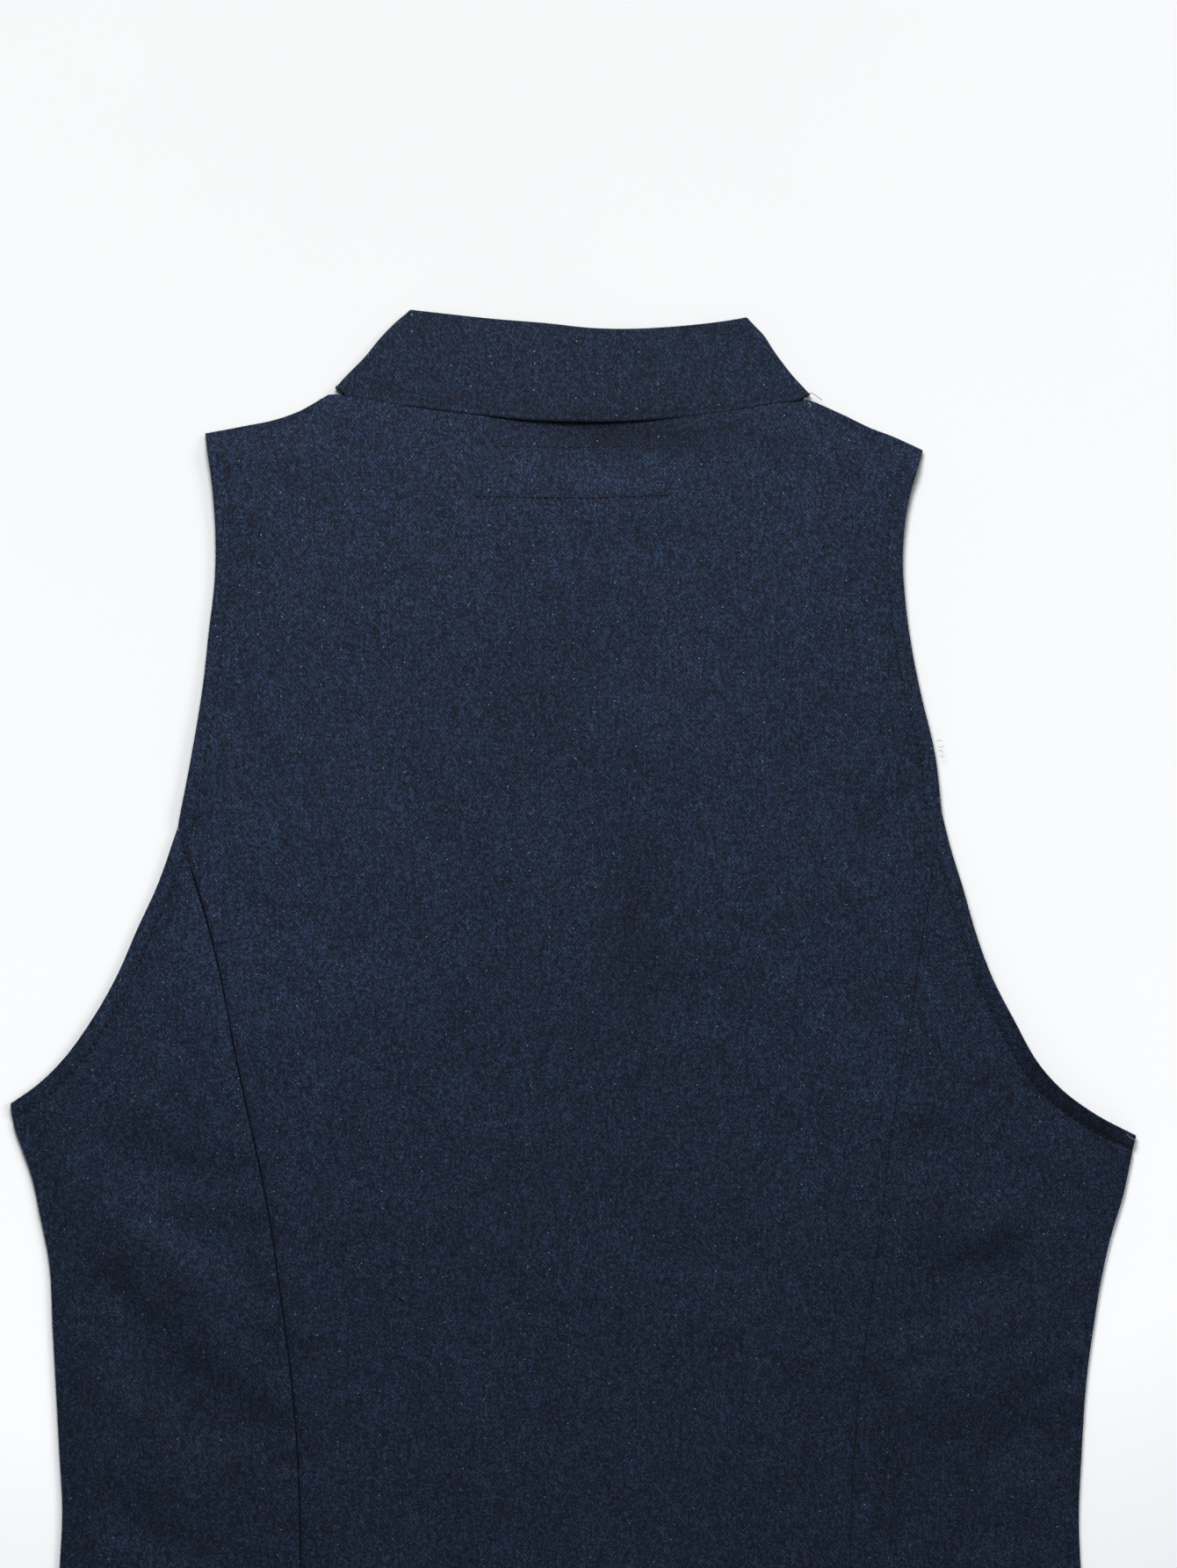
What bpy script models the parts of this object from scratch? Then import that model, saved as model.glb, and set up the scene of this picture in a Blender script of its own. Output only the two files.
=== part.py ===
"""Sleeveless denim waistcoat with a stand collar, laid face down on a table so that its back shows.

The collar points along +Y and the hem along -Y. +X is the wearer's right-hand side. The underside of the
fronts lies on z = 0, and the origin is below the middle of the garment. Plan tables are in millimetres.
"""

import math

import bmesh
import bpy
import numpy as np

# Driving sizes, in metres
MM = 0.001
CLOTH = 1.0 * MM  # one panel's wall
TURNED_HEM = 0.6 * MM  # what a turned and stitched edge adds to the wall
SEAM = 0.3 * MM  # what neighbouring pieces are apart
COLLAR_WALL = 1.8 * MM  # two layers and their stiffening
COLLAR_HOLLOW = 1.0 * MM  # what the flattened collar leaves between its two layers
ARMHOLE_BAND = 6.5 * MM
HEM_BAND = 20.0 * MM
BAND_SLOPE = 1.5 * MM  # the stretch over which a turned edge steps down
OVERLAP = 15.0 * MM  # how far each front passes the middle line
PLACKET_FLAT = 4.0 * MM  # how far a front stays raised beside the placket
PLACKET_SLOPE = 23.0 * MM  # the stretch over which it then comes down
BACK_SLOPE = 32.0 * MM  # the same for the back's hem above it
BUTTON_RADIUS = 5.75 * MM
BUTTON_THICK = 2.0 * MM
BUTTON_COUNT = 6
BUTTON_SPACING = 80.0 * MM
FIRST_BUTTON = 14.0 * MM  # below the pit of the neck
SEAM_EDGE = CLOTH + SEAM  # the underside of the back where it is sewn to the front
SIDE_HEIGHT = 3.5 * MM  # the underside of the back over one layer of front
MIDDLE_RISE = 1.9 * MM  # how much higher it passes over the placket
MIDDLE_HALF_WIDTH = 80.0 * MM
NECK_RISE = 0.5 * MM  # the same at the neck, above the front of the collar
NECK_SETTLE = 30.0 * MM  # the stretch over which it changes
COLLAR_RISE = 0.85 * MM  # how much the back of the collar arches at its middle
ARMHOLE_EDGE = 2.2 * MM
EDGE_ROLL = 16.0 * MM  # the stretch over which the back comes down to its edge
HEM_ROLL = 45.0 * MM  # the stretch over which it comes down to lie on the fronts at the hem
HEM_REST = 0.3 * MM  # how far the hem lies above a front, over the gap at a seam
PLACKET_RISE = BUTTON_THICK + CLOTH + 2 * SEAM + HEM_REST  # what the placket adds below the hem of the back
NECK_LIFT = 0.9 * MM  # how much the collar's fold lifts both panels at the neck point
NECK_LIFT_RADIUS = 15.0 * MM

# Outline of the laid garment, x and y in millimetres from below its middle
HEM = ((-211.0, -296.5), (-110.0, -300.2), (0.0, -301.2), (110.0, -300.2), (210.5, -296.5))
LEFT_SIDE = (
    (-211.0, -296.5), (-206.0, -260.0), (-200.0, -220.0), (-196.1, -178.7), (-195.1, -155.0),
    (-196.1, -136.8), (-198.8, -86.6), (-200.2, -61.5), (-203.5, -44.7), (-207.2, -28.0),
    (-210.2, -19.6), (-213.4, -10.5), (-214.9, -1.8),
)
RIGHT_SIDE = (
    (210.5, -296.5), (204.5, -260.0), (198.0, -220.0), (193.8, -178.7), (193.1, -160.0),
    (194.1, -136.8), (196.5, -103.3), (198.8, -86.6), (201.5, -69.8), (205.2, -53.1),
    (210.2, -36.3), (213.2, -22.0), (214.9, -13.9),
)
LEFT_LOW_ARMHOLE = (
    (-214.9, -1.8), (-204.5, 5.5), (-195.8, 13.9), (-183.4, 30.7), (-174.0, 47.4),
    (-166.7, 64.2), (-159.0, 80.9), (-150.9, 103.7),
)
RIGHT_LOW_ARMHOLE = (
    (214.9, -13.9), (197.5, -4.5), (185.4, 4.5), (177.0, 13.9), (167.7, 30.7),
    (159.3, 47.4), (153.3, 64.2), (148.6, 80.9), (143.5, 97.7), (140.6, 110.0),
)
LEFT_HIGH_ARMHOLE = (
    (-150.9, 103.7), (-145.6, 131.2), (-141.5, 156.3), (-138.9, 179.7), (-136.8, 198.2),
    (-136.5, 214.9), (-137.5, 231.7), (-140.5, 254.1),
)
RIGHT_HIGH_ARMHOLE = (
    (140.6, 110.0), (138.2, 131.2), (132.6, 155.0), (129.1, 173.0), (126.8, 189.8),
    (125.8, 204.8), (127.1, 223.3), (133.5, 247.7),
)
LEFT_SHOULDER = ((-140.5, 254.1), (-124.8, 257.1), (-114.7, 259.1), (-104.7, 262.5), (-93.4, 268.9))
RIGHT_SHOULDER = ((133.5, 247.7), (121.8, 253.1), (113.7, 256.1), (104.8, 260.4), (92.6, 265.9))
LEFT_PRINCESS = (
    (-117.0, -300.0), (-111.0, -260.0), (-106.0, -220.0), (-104.0, -178.7), (-105.0, -136.8),
    (-107.0, -110.0), (-110.4, -83.2), (-114.1, -56.4), (-118.1, -33.0), (-123.1, -9.5),
    (-128.8, 17.3), (-133.2, 40.7), (-138.2, 62.5), (-144.2, 83.0), (-150.9, 103.7),
)
RIGHT_PRINCESS = (
    (118.0, -300.0), (112.0, -260.0), (107.0, -220.0), (105.4, -178.7), (107.0, -133.5),
    (109.0, -110.0), (112.1, -86.6), (115.1, -63.1), (118.4, -36.3), (121.1, -12.9),
    (125.8, 15.6), (129.5, 36.7), (133.5, 64.8), (137.2, 89.3), (140.6, 110.0),
)
NECK_SEAM = (
    (-90.6, 269.3), (-74.5, 266.2), (-53.8, 263.5), (-33.3, 261.0), (-18.6, 259.5),
    (-1.2, 258.8), (15.9, 258.8), (35.0, 259.8), (57.5, 262.1), (71.9, 264.8), (90.2, 267.3),
)
COLLAR_TOP = (
    (-62.5, 301.2), (-51.1, 299.9), (-31.0, 297.7), (-10.9, 296.0), (9.2, 294.0),
    (19.3, 293.8), (39.4, 294.8), (59.5, 297.1), (66.5, 298.3),
)
LEFT_FOLD = ((-91.4, 271.0), (-87.3, 275.4), (-80.9, 282.1), (-72.2, 292.2), (-62.5, 301.2))
RIGHT_FOLD = ((91.0, 268.4), (87.3, 272.4), (81.9, 278.8), (76.9, 285.3), (72.5, 291.9), (66.5, 298.3))

# The fronts and the front of the collar lie hidden below the back, so these are plain curves
NECK_PIT_Y = 197.0
COLLAR_HEIGHT = 34.5
LEFT_FRONT_ARMHOLE = ((-214.9, -1.8), (-186.0, 15.0), (-164.0, 45.0), (-146.0, 90.0), (-136.0, 140.0),
                      (-131.0, 200.0), (-140.5, 254.1))
RIGHT_FRONT_ARMHOLE = ((214.9, -13.9), (180.0, 2.0), (157.0, 33.0), (141.0, 80.0), (130.0, 135.0),
                       (121.0, 195.0), (133.5, 247.7))

# Largest folds of the back, one row each: the line that it follows, its half width and its height
FOLDS = (
    # from x, from y, to x, to y, half width, height
    (-198.0, -14.0, -124.0, -34.0, 9.0, -1.2),
    (-178.0, -33.0, -128.0, -63.0, 7.0, -0.8),
    (-178.0, -30.0, -121.0, -110.0, 12.0, 1.5),
    (-193.0, -56.0, -160.0, -103.0, 11.0, -1.5),
    (-166.0, -96.0, -108.0, -137.0, 11.0, -1.7),
    (-184.0, -112.0, -130.0, -166.0, 14.0, 0.8),
    (144.0, -8.0, 121.0, -30.0, 8.0, -1.2),
    (183.0, -26.0, 136.0, -73.0, 11.0, 1.4),
    (180.0, -44.0, 114.0, -94.0, 13.0, -1.7),
    (192.0, -92.0, 124.0, -126.0, 13.0, 0.9),
    (192.0, -118.0, 150.0, -146.0, 12.0, -1.0),
    (118.0, 128.0, 112.0, 70.0, 7.0, -0.9),
    (136.0, 68.0, 134.0, 36.0, 6.0, -0.8),
    (-60.0, 190.0, -12.0, 20.0, 26.0, 0.5),
    (40.0, 190.0, 78.0, 20.0, 26.0, 0.5),
)

# Mesh density
FINE = 200  # steps of the plan curves, before the rows and columns of a panel are chosen
ARC_STEPS = 6
COLLAR_CELLS = 4
BUTTON_SIDES = 16


def curve_through(table):
    """A smooth line through the rows of a plan table, as many close points in metres."""
    knots = np.array(table) * MM
    chord = np.concatenate([[0.0], np.cumsum(np.linalg.norm(np.diff(knots, axis=0), axis=1))])
    slope = np.gradient(knots, chord, axis=0)
    place = np.linspace(0.0, chord[-1], 2 * FINE + 1)
    k = np.clip(np.searchsorted(chord, place, side="right") - 1, 0, len(knots) - 2)
    span = (chord[k + 1] - chord[k])[:, None]
    s = (place - chord[k])[:, None] / span
    return (
        (2 * s**3 - 3 * s**2 + 1) * knots[k]
        + (s**3 - 2 * s**2 + s) * span * slope[k]
        + (3 * s**2 - 2 * s**3) * knots[k + 1]
        + (s**3 - s**2) * span * slope[k + 1]
    )


def bezier(start, start_handle, end_handle, end):
    """A curve with handles, in the same form."""
    t = np.linspace(0.0, 1.0, 2 * FINE + 1)[:, None]
    points = [np.array(p) * MM for p in (start, start_handle, end_handle, end)]
    return (
        (1 - t) ** 3 * points[0]
        + 3 * t * (1 - t) ** 2 * points[1]
        + 3 * t**2 * (1 - t) * points[2]
        + t**3 * points[3]
    )


def travelled(line):
    """The length of a line up to each of its points."""
    return np.concatenate([[0.0], np.cumsum(np.linalg.norm(np.diff(line, axis=0), axis=1))])


def at_lengths(line, lengths):
    """The points of a line at the given lengths from its start."""
    way = travelled(line)
    return np.stack([np.interp(lengths, way, line[:, i]) for i in range(line.shape[1])], axis=1)


def edge(*parts):
    """One side of a panel, in FINE steps. Each part is a line and the share of the steps that it takes."""
    points = []
    for line, share in parts:
        steps = round(share * FINE)
        points.append(at_lengths(line, np.linspace(0.0, travelled(line)[-1], steps + 1)))
    return np.concatenate([points[0]] + [p[1:] for p in points[1:]])


def patch(bottom, top, left, right):
    """Fills four sides that share their corners, as rows from the bottom to the top."""
    u = np.linspace(0.0, 1.0, FINE + 1)[None, :, None]
    v = np.linspace(0.0, 1.0, FINE + 1)[:, None, None]
    across = (1 - u) * left[:, None] + u * right[:, None]
    along = (1 - v) * bottom[None] + v * top[None]
    corners = (1 - v) * ((1 - u) * bottom[0] + u * bottom[-1]) + v * ((1 - u) * top[0] + u * top[-1])
    return across + along - corners


def stops(length, near_start, cells, near_end):
    """Lengths at which a line is cut: close to its ends as told, and evenly between."""
    first = near_start[-1] if near_start else 0.0
    last = length - (near_end[0] if near_end else 0.0)
    even = np.linspace(first, last, cells + 1)
    return np.concatenate([[0.0] * bool(near_start), near_start[:-1], even,
                           [length - d for d in near_end[1:]], [length] * bool(near_end)])


def cut_lines(grid, sections):
    """Cuts every row of a grid afresh. Each section is its share of the steps, its distances near the start,
    its even cells and its distances near the end, the farthest first."""
    rows = []
    for line in grid:
        row, start = [], 0
        for share, near_start, cells, near_end in sections:
            stop = start + round(share * FINE)
            piece = line[start:stop + 1]
            lengths = stops(travelled(piece)[-1], near_start, cells, near_end)
            row.append(at_lengths(piece, lengths)[bool(row):])
            start = stop
        rows.append(np.concatenate(row))
    return np.array(rows)


def panel_plan(sides, columns, rows):
    """The plan points of a panel, first cut into columns and then into rows."""
    in_columns = cut_lines(patch(*sides), columns)
    return cut_lines(in_columns.transpose(1, 0, 2), rows).transpose(1, 0, 2)


def distance(plan, line):
    """How far each plan point is from a line."""
    start, step = line[:-1], np.diff(line, axis=0)
    away = plan.reshape(-1, 1, 2) - start
    share = np.clip((away * step).sum(-1) / np.maximum((step**2).sum(-1), 1e-15), 0.0, 1.0)
    gap = np.linalg.norm(away - share[..., None] * step, axis=-1)
    return gap.min(axis=1).reshape(plan.shape[:-1])


def ease(share):
    """Rises smoothly from 0 to 1."""
    share = np.clip(share, 0.0, 1.0)
    return share * share * (3 - 2 * share)


def turned_edge(away, band):
    """The extra wall of a turned edge at a distance from it."""
    return TURNED_HEM * (1.0 - ease((away - band + BAND_SLOPE) / BAND_SLOPE))


def folds(plan):
    """Height that the folds add. Each fades towards its ends and sides."""
    total = np.zeros(plan.shape[:-1])
    for x0, y0, x1, y1, half_width, height in FOLDS:
        start, end = np.array((x0, y0)) * MM, np.array((x1, y1)) * MM
        step = end - start
        share = ((plan - start) @ step) / (step @ step)
        near = start + np.clip(share, 0.0, 1.0)[..., None] * step
        off = np.linalg.norm(plan - near, axis=-1) / (half_width * MM)
        ends = 0.55 + 0.45 * np.cos(2 * math.pi * (np.clip(share, 0.0, 1.0) - 0.5))
        total += height * MM * ends * np.exp(-off * off)
    return total


def neck_lift(plan):
    """How much the fold of the collar lifts the panels at the two neck points."""
    lift = np.zeros(plan.shape[:-1])
    for table in (LEFT_SHOULDER, RIGHT_SHOULDER):
        gap = np.linalg.norm(plan - np.array(table[-1]) * MM, axis=-1)
        lift += NECK_LIFT * np.exp(-((gap / NECK_LIFT_RADIUS) ** 2))
    return lift


def back_underside(plan, lines):
    """Height of the underside of the back: low where it is sewn to the fronts, higher over the placket."""
    x, y = plan[..., 0], plan[..., 1]
    above_pit = ease((y - (NECK_PIT_Y + COLLAR_HEIGHT) * MM) / NECK_SETTLE)
    rise = MIDDLE_RISE + above_pit * (NECK_RISE - MIDDLE_RISE)
    crown = SIDE_HEIGHT + rise * np.exp(-((x / MIDDLE_HALF_WIDTH) ** 2)) + folds(plan)
    placket = PLACKET_RISE * (1.0 - ease((abs(x) - OVERLAP - PLACKET_FLAT) / BACK_SLOPE))
    at_hem = 1.0 - ease(distance(plan, lines["hem"]) / HEM_ROLL)
    crown += at_hem * (SEAM_EDGE + HEM_REST + placket - crown)
    sewn = np.minimum.reduce([distance(plan, lines[n]) for n in
                              ("left_side", "right_side", "left_shoulder", "right_shoulder")])
    armhole = np.minimum.reduce([distance(plan, lines[n]) for n in
                                 ("left_low", "right_low", "left_high", "right_high")])
    inside = ease(sewn / EDGE_ROLL)
    height = SEAM_EDGE + inside * (crown - SEAM_EDGE)
    at_armhole = 1.0 - ease(armhole / EDGE_ROLL)
    height += inside * at_armhole * (ARMHOLE_EDGE - height)
    return np.maximum(height, SEAM_EDGE) + neck_lift(plan)


def placket_height(x, edge_side, full):
    """Height of the underside of a front: full over the buttons, and on the table beside the placket."""
    return full * ease((OVERLAP + PLACKET_FLAT + PLACKET_SLOPE - x * edge_side) / PLACKET_SLOPE)


def wall(name, plan, under, over, material):
    """A cloth panel as one closed wall between an under and an over surface with the same plan points."""
    rows, columns = plan.shape[:2]
    mesh = bmesh.new()
    layers = []
    for height in (under, over):
        layers.append([[mesh.verts.new((*plan[j, i], height[j, i])) for i in range(columns)]
                       for j in range(rows)])
    below, above = layers
    for j in range(rows - 1):
        for i in range(columns - 1):
            mesh.faces.new((below[j][i], below[j + 1][i], below[j + 1][i + 1], below[j][i + 1]))
            mesh.faces.new((above[j][i], above[j][i + 1], above[j + 1][i + 1], above[j + 1][i]))
    rim = [(0, i) for i in range(columns)] + [(j, columns - 1) for j in range(1, rows)]
    rim += [(rows - 1, i) for i in range(columns - 2, -1, -1)] + [(j, 0) for j in range(rows - 2, 0, -1)]
    for (j0, i0), (j1, i1) in zip(rim, rim[1:] + rim[:1]):
        mesh.faces.new((below[j0][i0], below[j1][i1], above[j1][i1], above[j0][i0]))
    return finished(name, mesh, material)


def finished(name, mesh, material):
    """Puts a bmesh into the scene as a named object with its material."""
    bmesh.ops.recalc_face_normals(mesh, faces=mesh.faces)
    data = bpy.data.meshes.new(name)
    mesh.to_mesh(data)
    mesh.free()
    data.materials.append(material)
    data.shade_smooth()
    data.set_sharp_from_angle(angle=math.radians(35))
    made = bpy.data.objects.new(name, data)
    bpy.context.scene.collection.objects.link(made)
    return made


def finish(name, colour, roughness):
    """A plain material."""
    material = bpy.data.materials.new(name)
    material.use_nodes = True
    shader = material.node_tree.nodes["Principled BSDF"]
    shader.inputs["Base Color"].default_value = (*colour, 1.0)
    shader.inputs["Roughness"].default_value = roughness
    shader.inputs["Metallic"].default_value = 0.0
    return material


def shifted(line, dx, dy):
    """A plan line moved by a small step, as for the gap at a seam."""
    return line + np.array((dx, dy))


def garment_lines():
    """Every line of the cut as it lies, by name."""
    return {
        "hem": curve_through(HEM),
        "left_side": curve_through(LEFT_SIDE),
        "right_side": curve_through(RIGHT_SIDE),
        "left_low": curve_through(LEFT_LOW_ARMHOLE),
        "right_low": curve_through(RIGHT_LOW_ARMHOLE),
        "left_high": curve_through(LEFT_HIGH_ARMHOLE),
        "right_high": curve_through(RIGHT_HIGH_ARMHOLE),
        "left_shoulder": curve_through(LEFT_SHOULDER),
        "right_shoulder": curve_through(RIGHT_SHOULDER),
        "left_princess": curve_through(LEFT_PRINCESS),
        "right_princess": curve_through(RIGHT_PRINCESS),
        "neck": curve_through(NECK_SEAM),
        "collar_top": curve_through(COLLAR_TOP),
        "left_fold": curve_through(LEFT_FOLD),
        "right_fold": curve_through(RIGHT_FOLD),
        "left_front_armhole": curve_through(LEFT_FRONT_ARMHOLE),
        "right_front_armhole": curve_through(RIGHT_FRONT_ARMHOLE),
    }


def hem_between(lines, x_from, x_to):
    """The stretch of the hem line between two places across."""
    hem = lines["hem"]
    x = np.linspace(x_from, x_to, 2 * FINE + 1)
    return np.stack([x, np.interp(x, hem[:, 0], hem[:, 1])], axis=1)


def back_wall(name, plan, lines, material):
    """A panel of the back on the common height of the back, thicker at its turned edges."""
    under = back_underside(plan, lines)
    armhole = np.minimum.reduce([distance(plan, lines[n]) for n in
                                 ("left_low", "right_low", "left_high", "right_high")])
    extra = np.maximum(turned_edge(armhole, ARMHOLE_BAND), turned_edge(distance(plan, lines["hem"]), HEM_BAND))
    return wall(name, plan, under, under + CLOTH + extra, material)


BAND_STEPS = (HEM_BAND - BAND_SLOPE, HEM_BAND)
ARMHOLE_STEPS = (ARMHOLE_BAND - BAND_SLOPE, ARMHOLE_BAND)
ARMHOLE_END = ARMHOLE_STEPS[::-1]
EDGE_STEPS = (3.0 * MM, 9.0 * MM)


def make_back_centre(lines, material):
    """The middle of the back, between the princess seams, up to the shoulders and the neck."""
    half = SEAM / 2
    left_seam, right_seam = shifted(lines["left_princess"], half, 0), shifted(lines["right_princess"], -half, 0)
    left_arm, right_arm = lines["left_high"].copy(), lines["right_high"].copy()
    left_arm[0], right_arm[0] = left_seam[-1], right_seam[-1]
    left_snp, right_snp = lines["left_shoulder"][-1], lines["right_shoulder"][-1]
    neck = shifted(lines["neck"], 0, -SEAM)
    neck[0], neck[-1] = left_snp, right_snp
    bottom = hem_between(lines, left_seam[0, 0], right_seam[0, 0])
    left_seam[0], right_seam[0] = bottom[0], bottom[-1]
    seam_share, shoulder_share = 0.73, 0.18
    sides = (
        edge((bottom, 1.0)),
        edge((lines["left_shoulder"], shoulder_share), (neck, 1 - 2 * shoulder_share),
             (lines["right_shoulder"][::-1], shoulder_share)),
        edge((left_seam, seam_share), (left_arm, 1 - seam_share)),
        edge((right_seam, seam_share), (right_arm, 1 - seam_share)),
    )
    columns = (
        (shoulder_share, ARMHOLE_STEPS, 3, ()),
        (1 - 2 * shoulder_share, (), 10, ()),
        (shoulder_share, (), 3, ARMHOLE_END),
    )
    rows = ((seam_share, BAND_STEPS, 24, ARMHOLE_END), (1 - seam_share, (), 11, (4.0 * MM,)))
    return back_wall("back_centre", panel_plan(sides, columns, rows), lines, material)


def make_back_side(name, side, lines, material):
    """A side panel of the back, from the side seam to the princess seam and up to the armhole."""
    inward = SEAM / 2 if side == "right" else -SEAM / 2
    seam = shifted(lines[side + "_princess"], inward, 0)
    outer, arm = lines[side + "_side"].copy(), lines[side + "_low"].copy()
    bottom = hem_between(lines, outer[0, 0], seam[0, 0])
    seam[0], outer[0] = bottom[-1], bottom[0]
    arm[-1] = seam[-1]
    sides = (edge((bottom, 1.0)), edge((arm, 1.0)), edge((outer, 1.0)), edge((seam, 1.0)))
    columns = ((1.0, EDGE_STEPS, 7, ARMHOLE_END),)
    rows = ((1.0, BAND_STEPS, 24, ARMHOLE_END),)
    return back_wall(name, panel_plan(sides, columns, rows), lines, material)


def front_neck(side):
    """The lower and the upper edge of the collar's hidden front, from the neck point to the middle line."""
    out = -1.0 if side == "left" else 1.0
    ((low_x, low_y), (high_x, high_y)) = ((NECK_SEAM[0], COLLAR_TOP[0]) if side == "left"
                                          else (NECK_SEAM[-1], COLLAR_TOP[-1]))
    end = out * SEAM / 2 / MM
    pit, top = NECK_PIT_Y, NECK_PIT_Y + COLLAR_HEIGHT
    low = bezier((low_x, low_y), (low_x - out * 15.0, low_y - 42.0), (out * 45.0, pit), (end, pit))
    high = bezier((high_x, high_y), (high_x - out * 12.0, high_y - 43.0), (out * 30.0, top), (end, top))
    return low, high


def front_underside(plan, side):
    """Height of the underside of a front. The right front lies below the left one at the placket."""
    out = -1.0 if side == "left" else 1.0
    full = BUTTON_THICK + SEAM
    if side == "left":
        full += CLOTH + SEAM
    return placket_height(plan[..., 0], out, full) + neck_lift(plan)


def make_front(name, side, lines, material):
    """A front, from the side seam to its edge past the middle line, up to the shoulder and the neck."""
    out = -1.0 if side == "left" else 1.0
    outer, arm = lines[side + "_side"], lines[side + "_front_armhole"]
    shoulder = lines[side + "_shoulder"]
    middle_edge = -out * OVERLAP
    low, _ = front_neck(side)
    neck = shifted(low, out * SEAM, -SEAM)
    neck[0] = shoulder[-1]
    pit_y = NECK_PIT_Y * MM - SEAM
    neck[-1] = (out * SEAM, pit_y)
    past_middle = np.array([(out * SEAM, pit_y), (middle_edge, pit_y)])
    side_share, shoulder_share, neck_share = 0.59, 0.22, 0.66
    past_share = 1 - shoulder_share - neck_share
    under_shoulder = outer[0, 0] - out * 52.0 * MM
    bottom = (
        (hem_between(lines, outer[0, 0], under_shoulder), shoulder_share),
        (hem_between(lines, under_shoulder, out * SEAM), neck_share),
        (hem_between(lines, out * SEAM, middle_edge), past_share),
    )
    front_edge = np.array([bottom[-1][0][-1], (middle_edge, pit_y)])
    sides = (
        edge(*bottom),
        edge((shoulder, shoulder_share), (neck, neck_share), (past_middle, past_share)),
        edge((outer, side_share), (arm, 1 - side_share)),
        edge((front_edge, 1.0)),
    )
    placket_steps = [OVERLAP + PLACKET_FLAT + PLACKET_SLOPE * k / 3 for k in (3, 2, 1, 0)] + [8.0 * MM]
    columns = ((shoulder_share, EDGE_STEPS, 2, ()), (neck_share, (), 7, placket_steps), (past_share, (), 2, ()))
    rows = ((side_share, BAND_STEPS, 11, ()), (1 - side_share, (), 11, ()))
    plan = panel_plan(sides, columns, rows)
    under = front_underside(plan, side)
    return wall(name, plan, under, under + CLOTH, material)


def collar_path(share, lines):
    """One line along the collar, at a share of its height: its points, and which way its outside faces."""
    radius = (COLLAR_WALL + COLLAR_HOLLOW) / 2
    low_height, high_height = COLLAR_WALL / 2, COLLAR_WALL / 2 + 2 * radius
    reach = radius + COLLAR_WALL / 2
    back = (1 - share) * edge((lines["neck"], 1.0)) + share * edge((lines["collar_top"], 1.0))
    places = []
    for side in ("left", "right"):
        out = -1.0 if side == "left" else 1.0
        low, high = front_neck(side)
        front = (1 - share) * edge((low, 1.0)) + share * edge((high, 1.0))
        fold = lines[side + "_fold"]
        whole = fold[-1] - fold[0]
        away = np.array((whole[1], -whole[0])) * out / np.linalg.norm(whole)
        centre = at_lengths(fold, [share * travelled(fold)[-1]])[0] - away * reach
        lengths = np.linspace(travelled(front)[-1], 3.0 * MM, 13)
        plan = at_lengths(front, lengths)
        plan += (centre - front[0]) * (1.0 - lengths / lengths[0])[:, None]
        full = BUTTON_THICK + SEAM + (SEAM if side == "left" else 0.0)
        height = low_height + placket_height(plan[:, 0], out, full)
        under = [((*p, z), (0.0, 0.0, -1.0)) for p, z in zip(plan, height)]
        turn = []
        for k in range(ARC_STEPS + 1):
            angle = math.pi * k / ARC_STEPS
            facing = (*(away * math.sin(angle)), -math.cos(angle))
            middle = (*centre, low_height + radius)
            turn.append((tuple(m + radius * f for m, f in zip(middle, facing)), facing))
        places.append(under + turn)
    lengths = np.linspace(4.0 * MM, travelled(back)[-1] - 4.0 * MM, 21)
    plan = at_lengths(back, lengths)
    rise = COLLAR_RISE * np.sin(math.pi * lengths / travelled(back)[-1]) ** 2
    over = [((*p, high_height + z), (0.0, 0.0, 1.0)) for p, z in zip(plan, rise)]
    return places[0] + over + places[1][::-1]


def make_collar(lines, material):
    """The stand collar, one flattened ring whose two ends meet at the middle of the front."""
    mesh = bmesh.new()
    sheets = {1.0: [], -1.0: []}
    for c in range(COLLAR_CELLS + 1):
        path = collar_path(c / COLLAR_CELLS, lines)
        for face, rows in sheets.items():
            rows.append([mesh.verts.new([p + face * f * COLLAR_WALL / 2 for p, f in zip(point, facing)])
                         for point, facing in path])
    outer, inner = sheets[1.0], sheets[-1.0]
    count = len(outer[0])
    for c in range(COLLAR_CELLS):
        for k in range(count - 1):
            mesh.faces.new((outer[c][k], outer[c][k + 1], outer[c + 1][k + 1], outer[c + 1][k]))
            mesh.faces.new((inner[c][k], inner[c + 1][k], inner[c + 1][k + 1], inner[c][k + 1]))
    for c in (0, COLLAR_CELLS):
        for k in range(count - 1):
            mesh.faces.new((outer[c][k], inner[c][k], inner[c][k + 1], outer[c][k + 1]))
    for k in (0, count - 1):
        for c in range(COLLAR_CELLS):
            mesh.faces.new((outer[c][k], outer[c + 1][k], inner[c + 1][k], inner[c][k]))
    return finished("collar", mesh, material)


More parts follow.
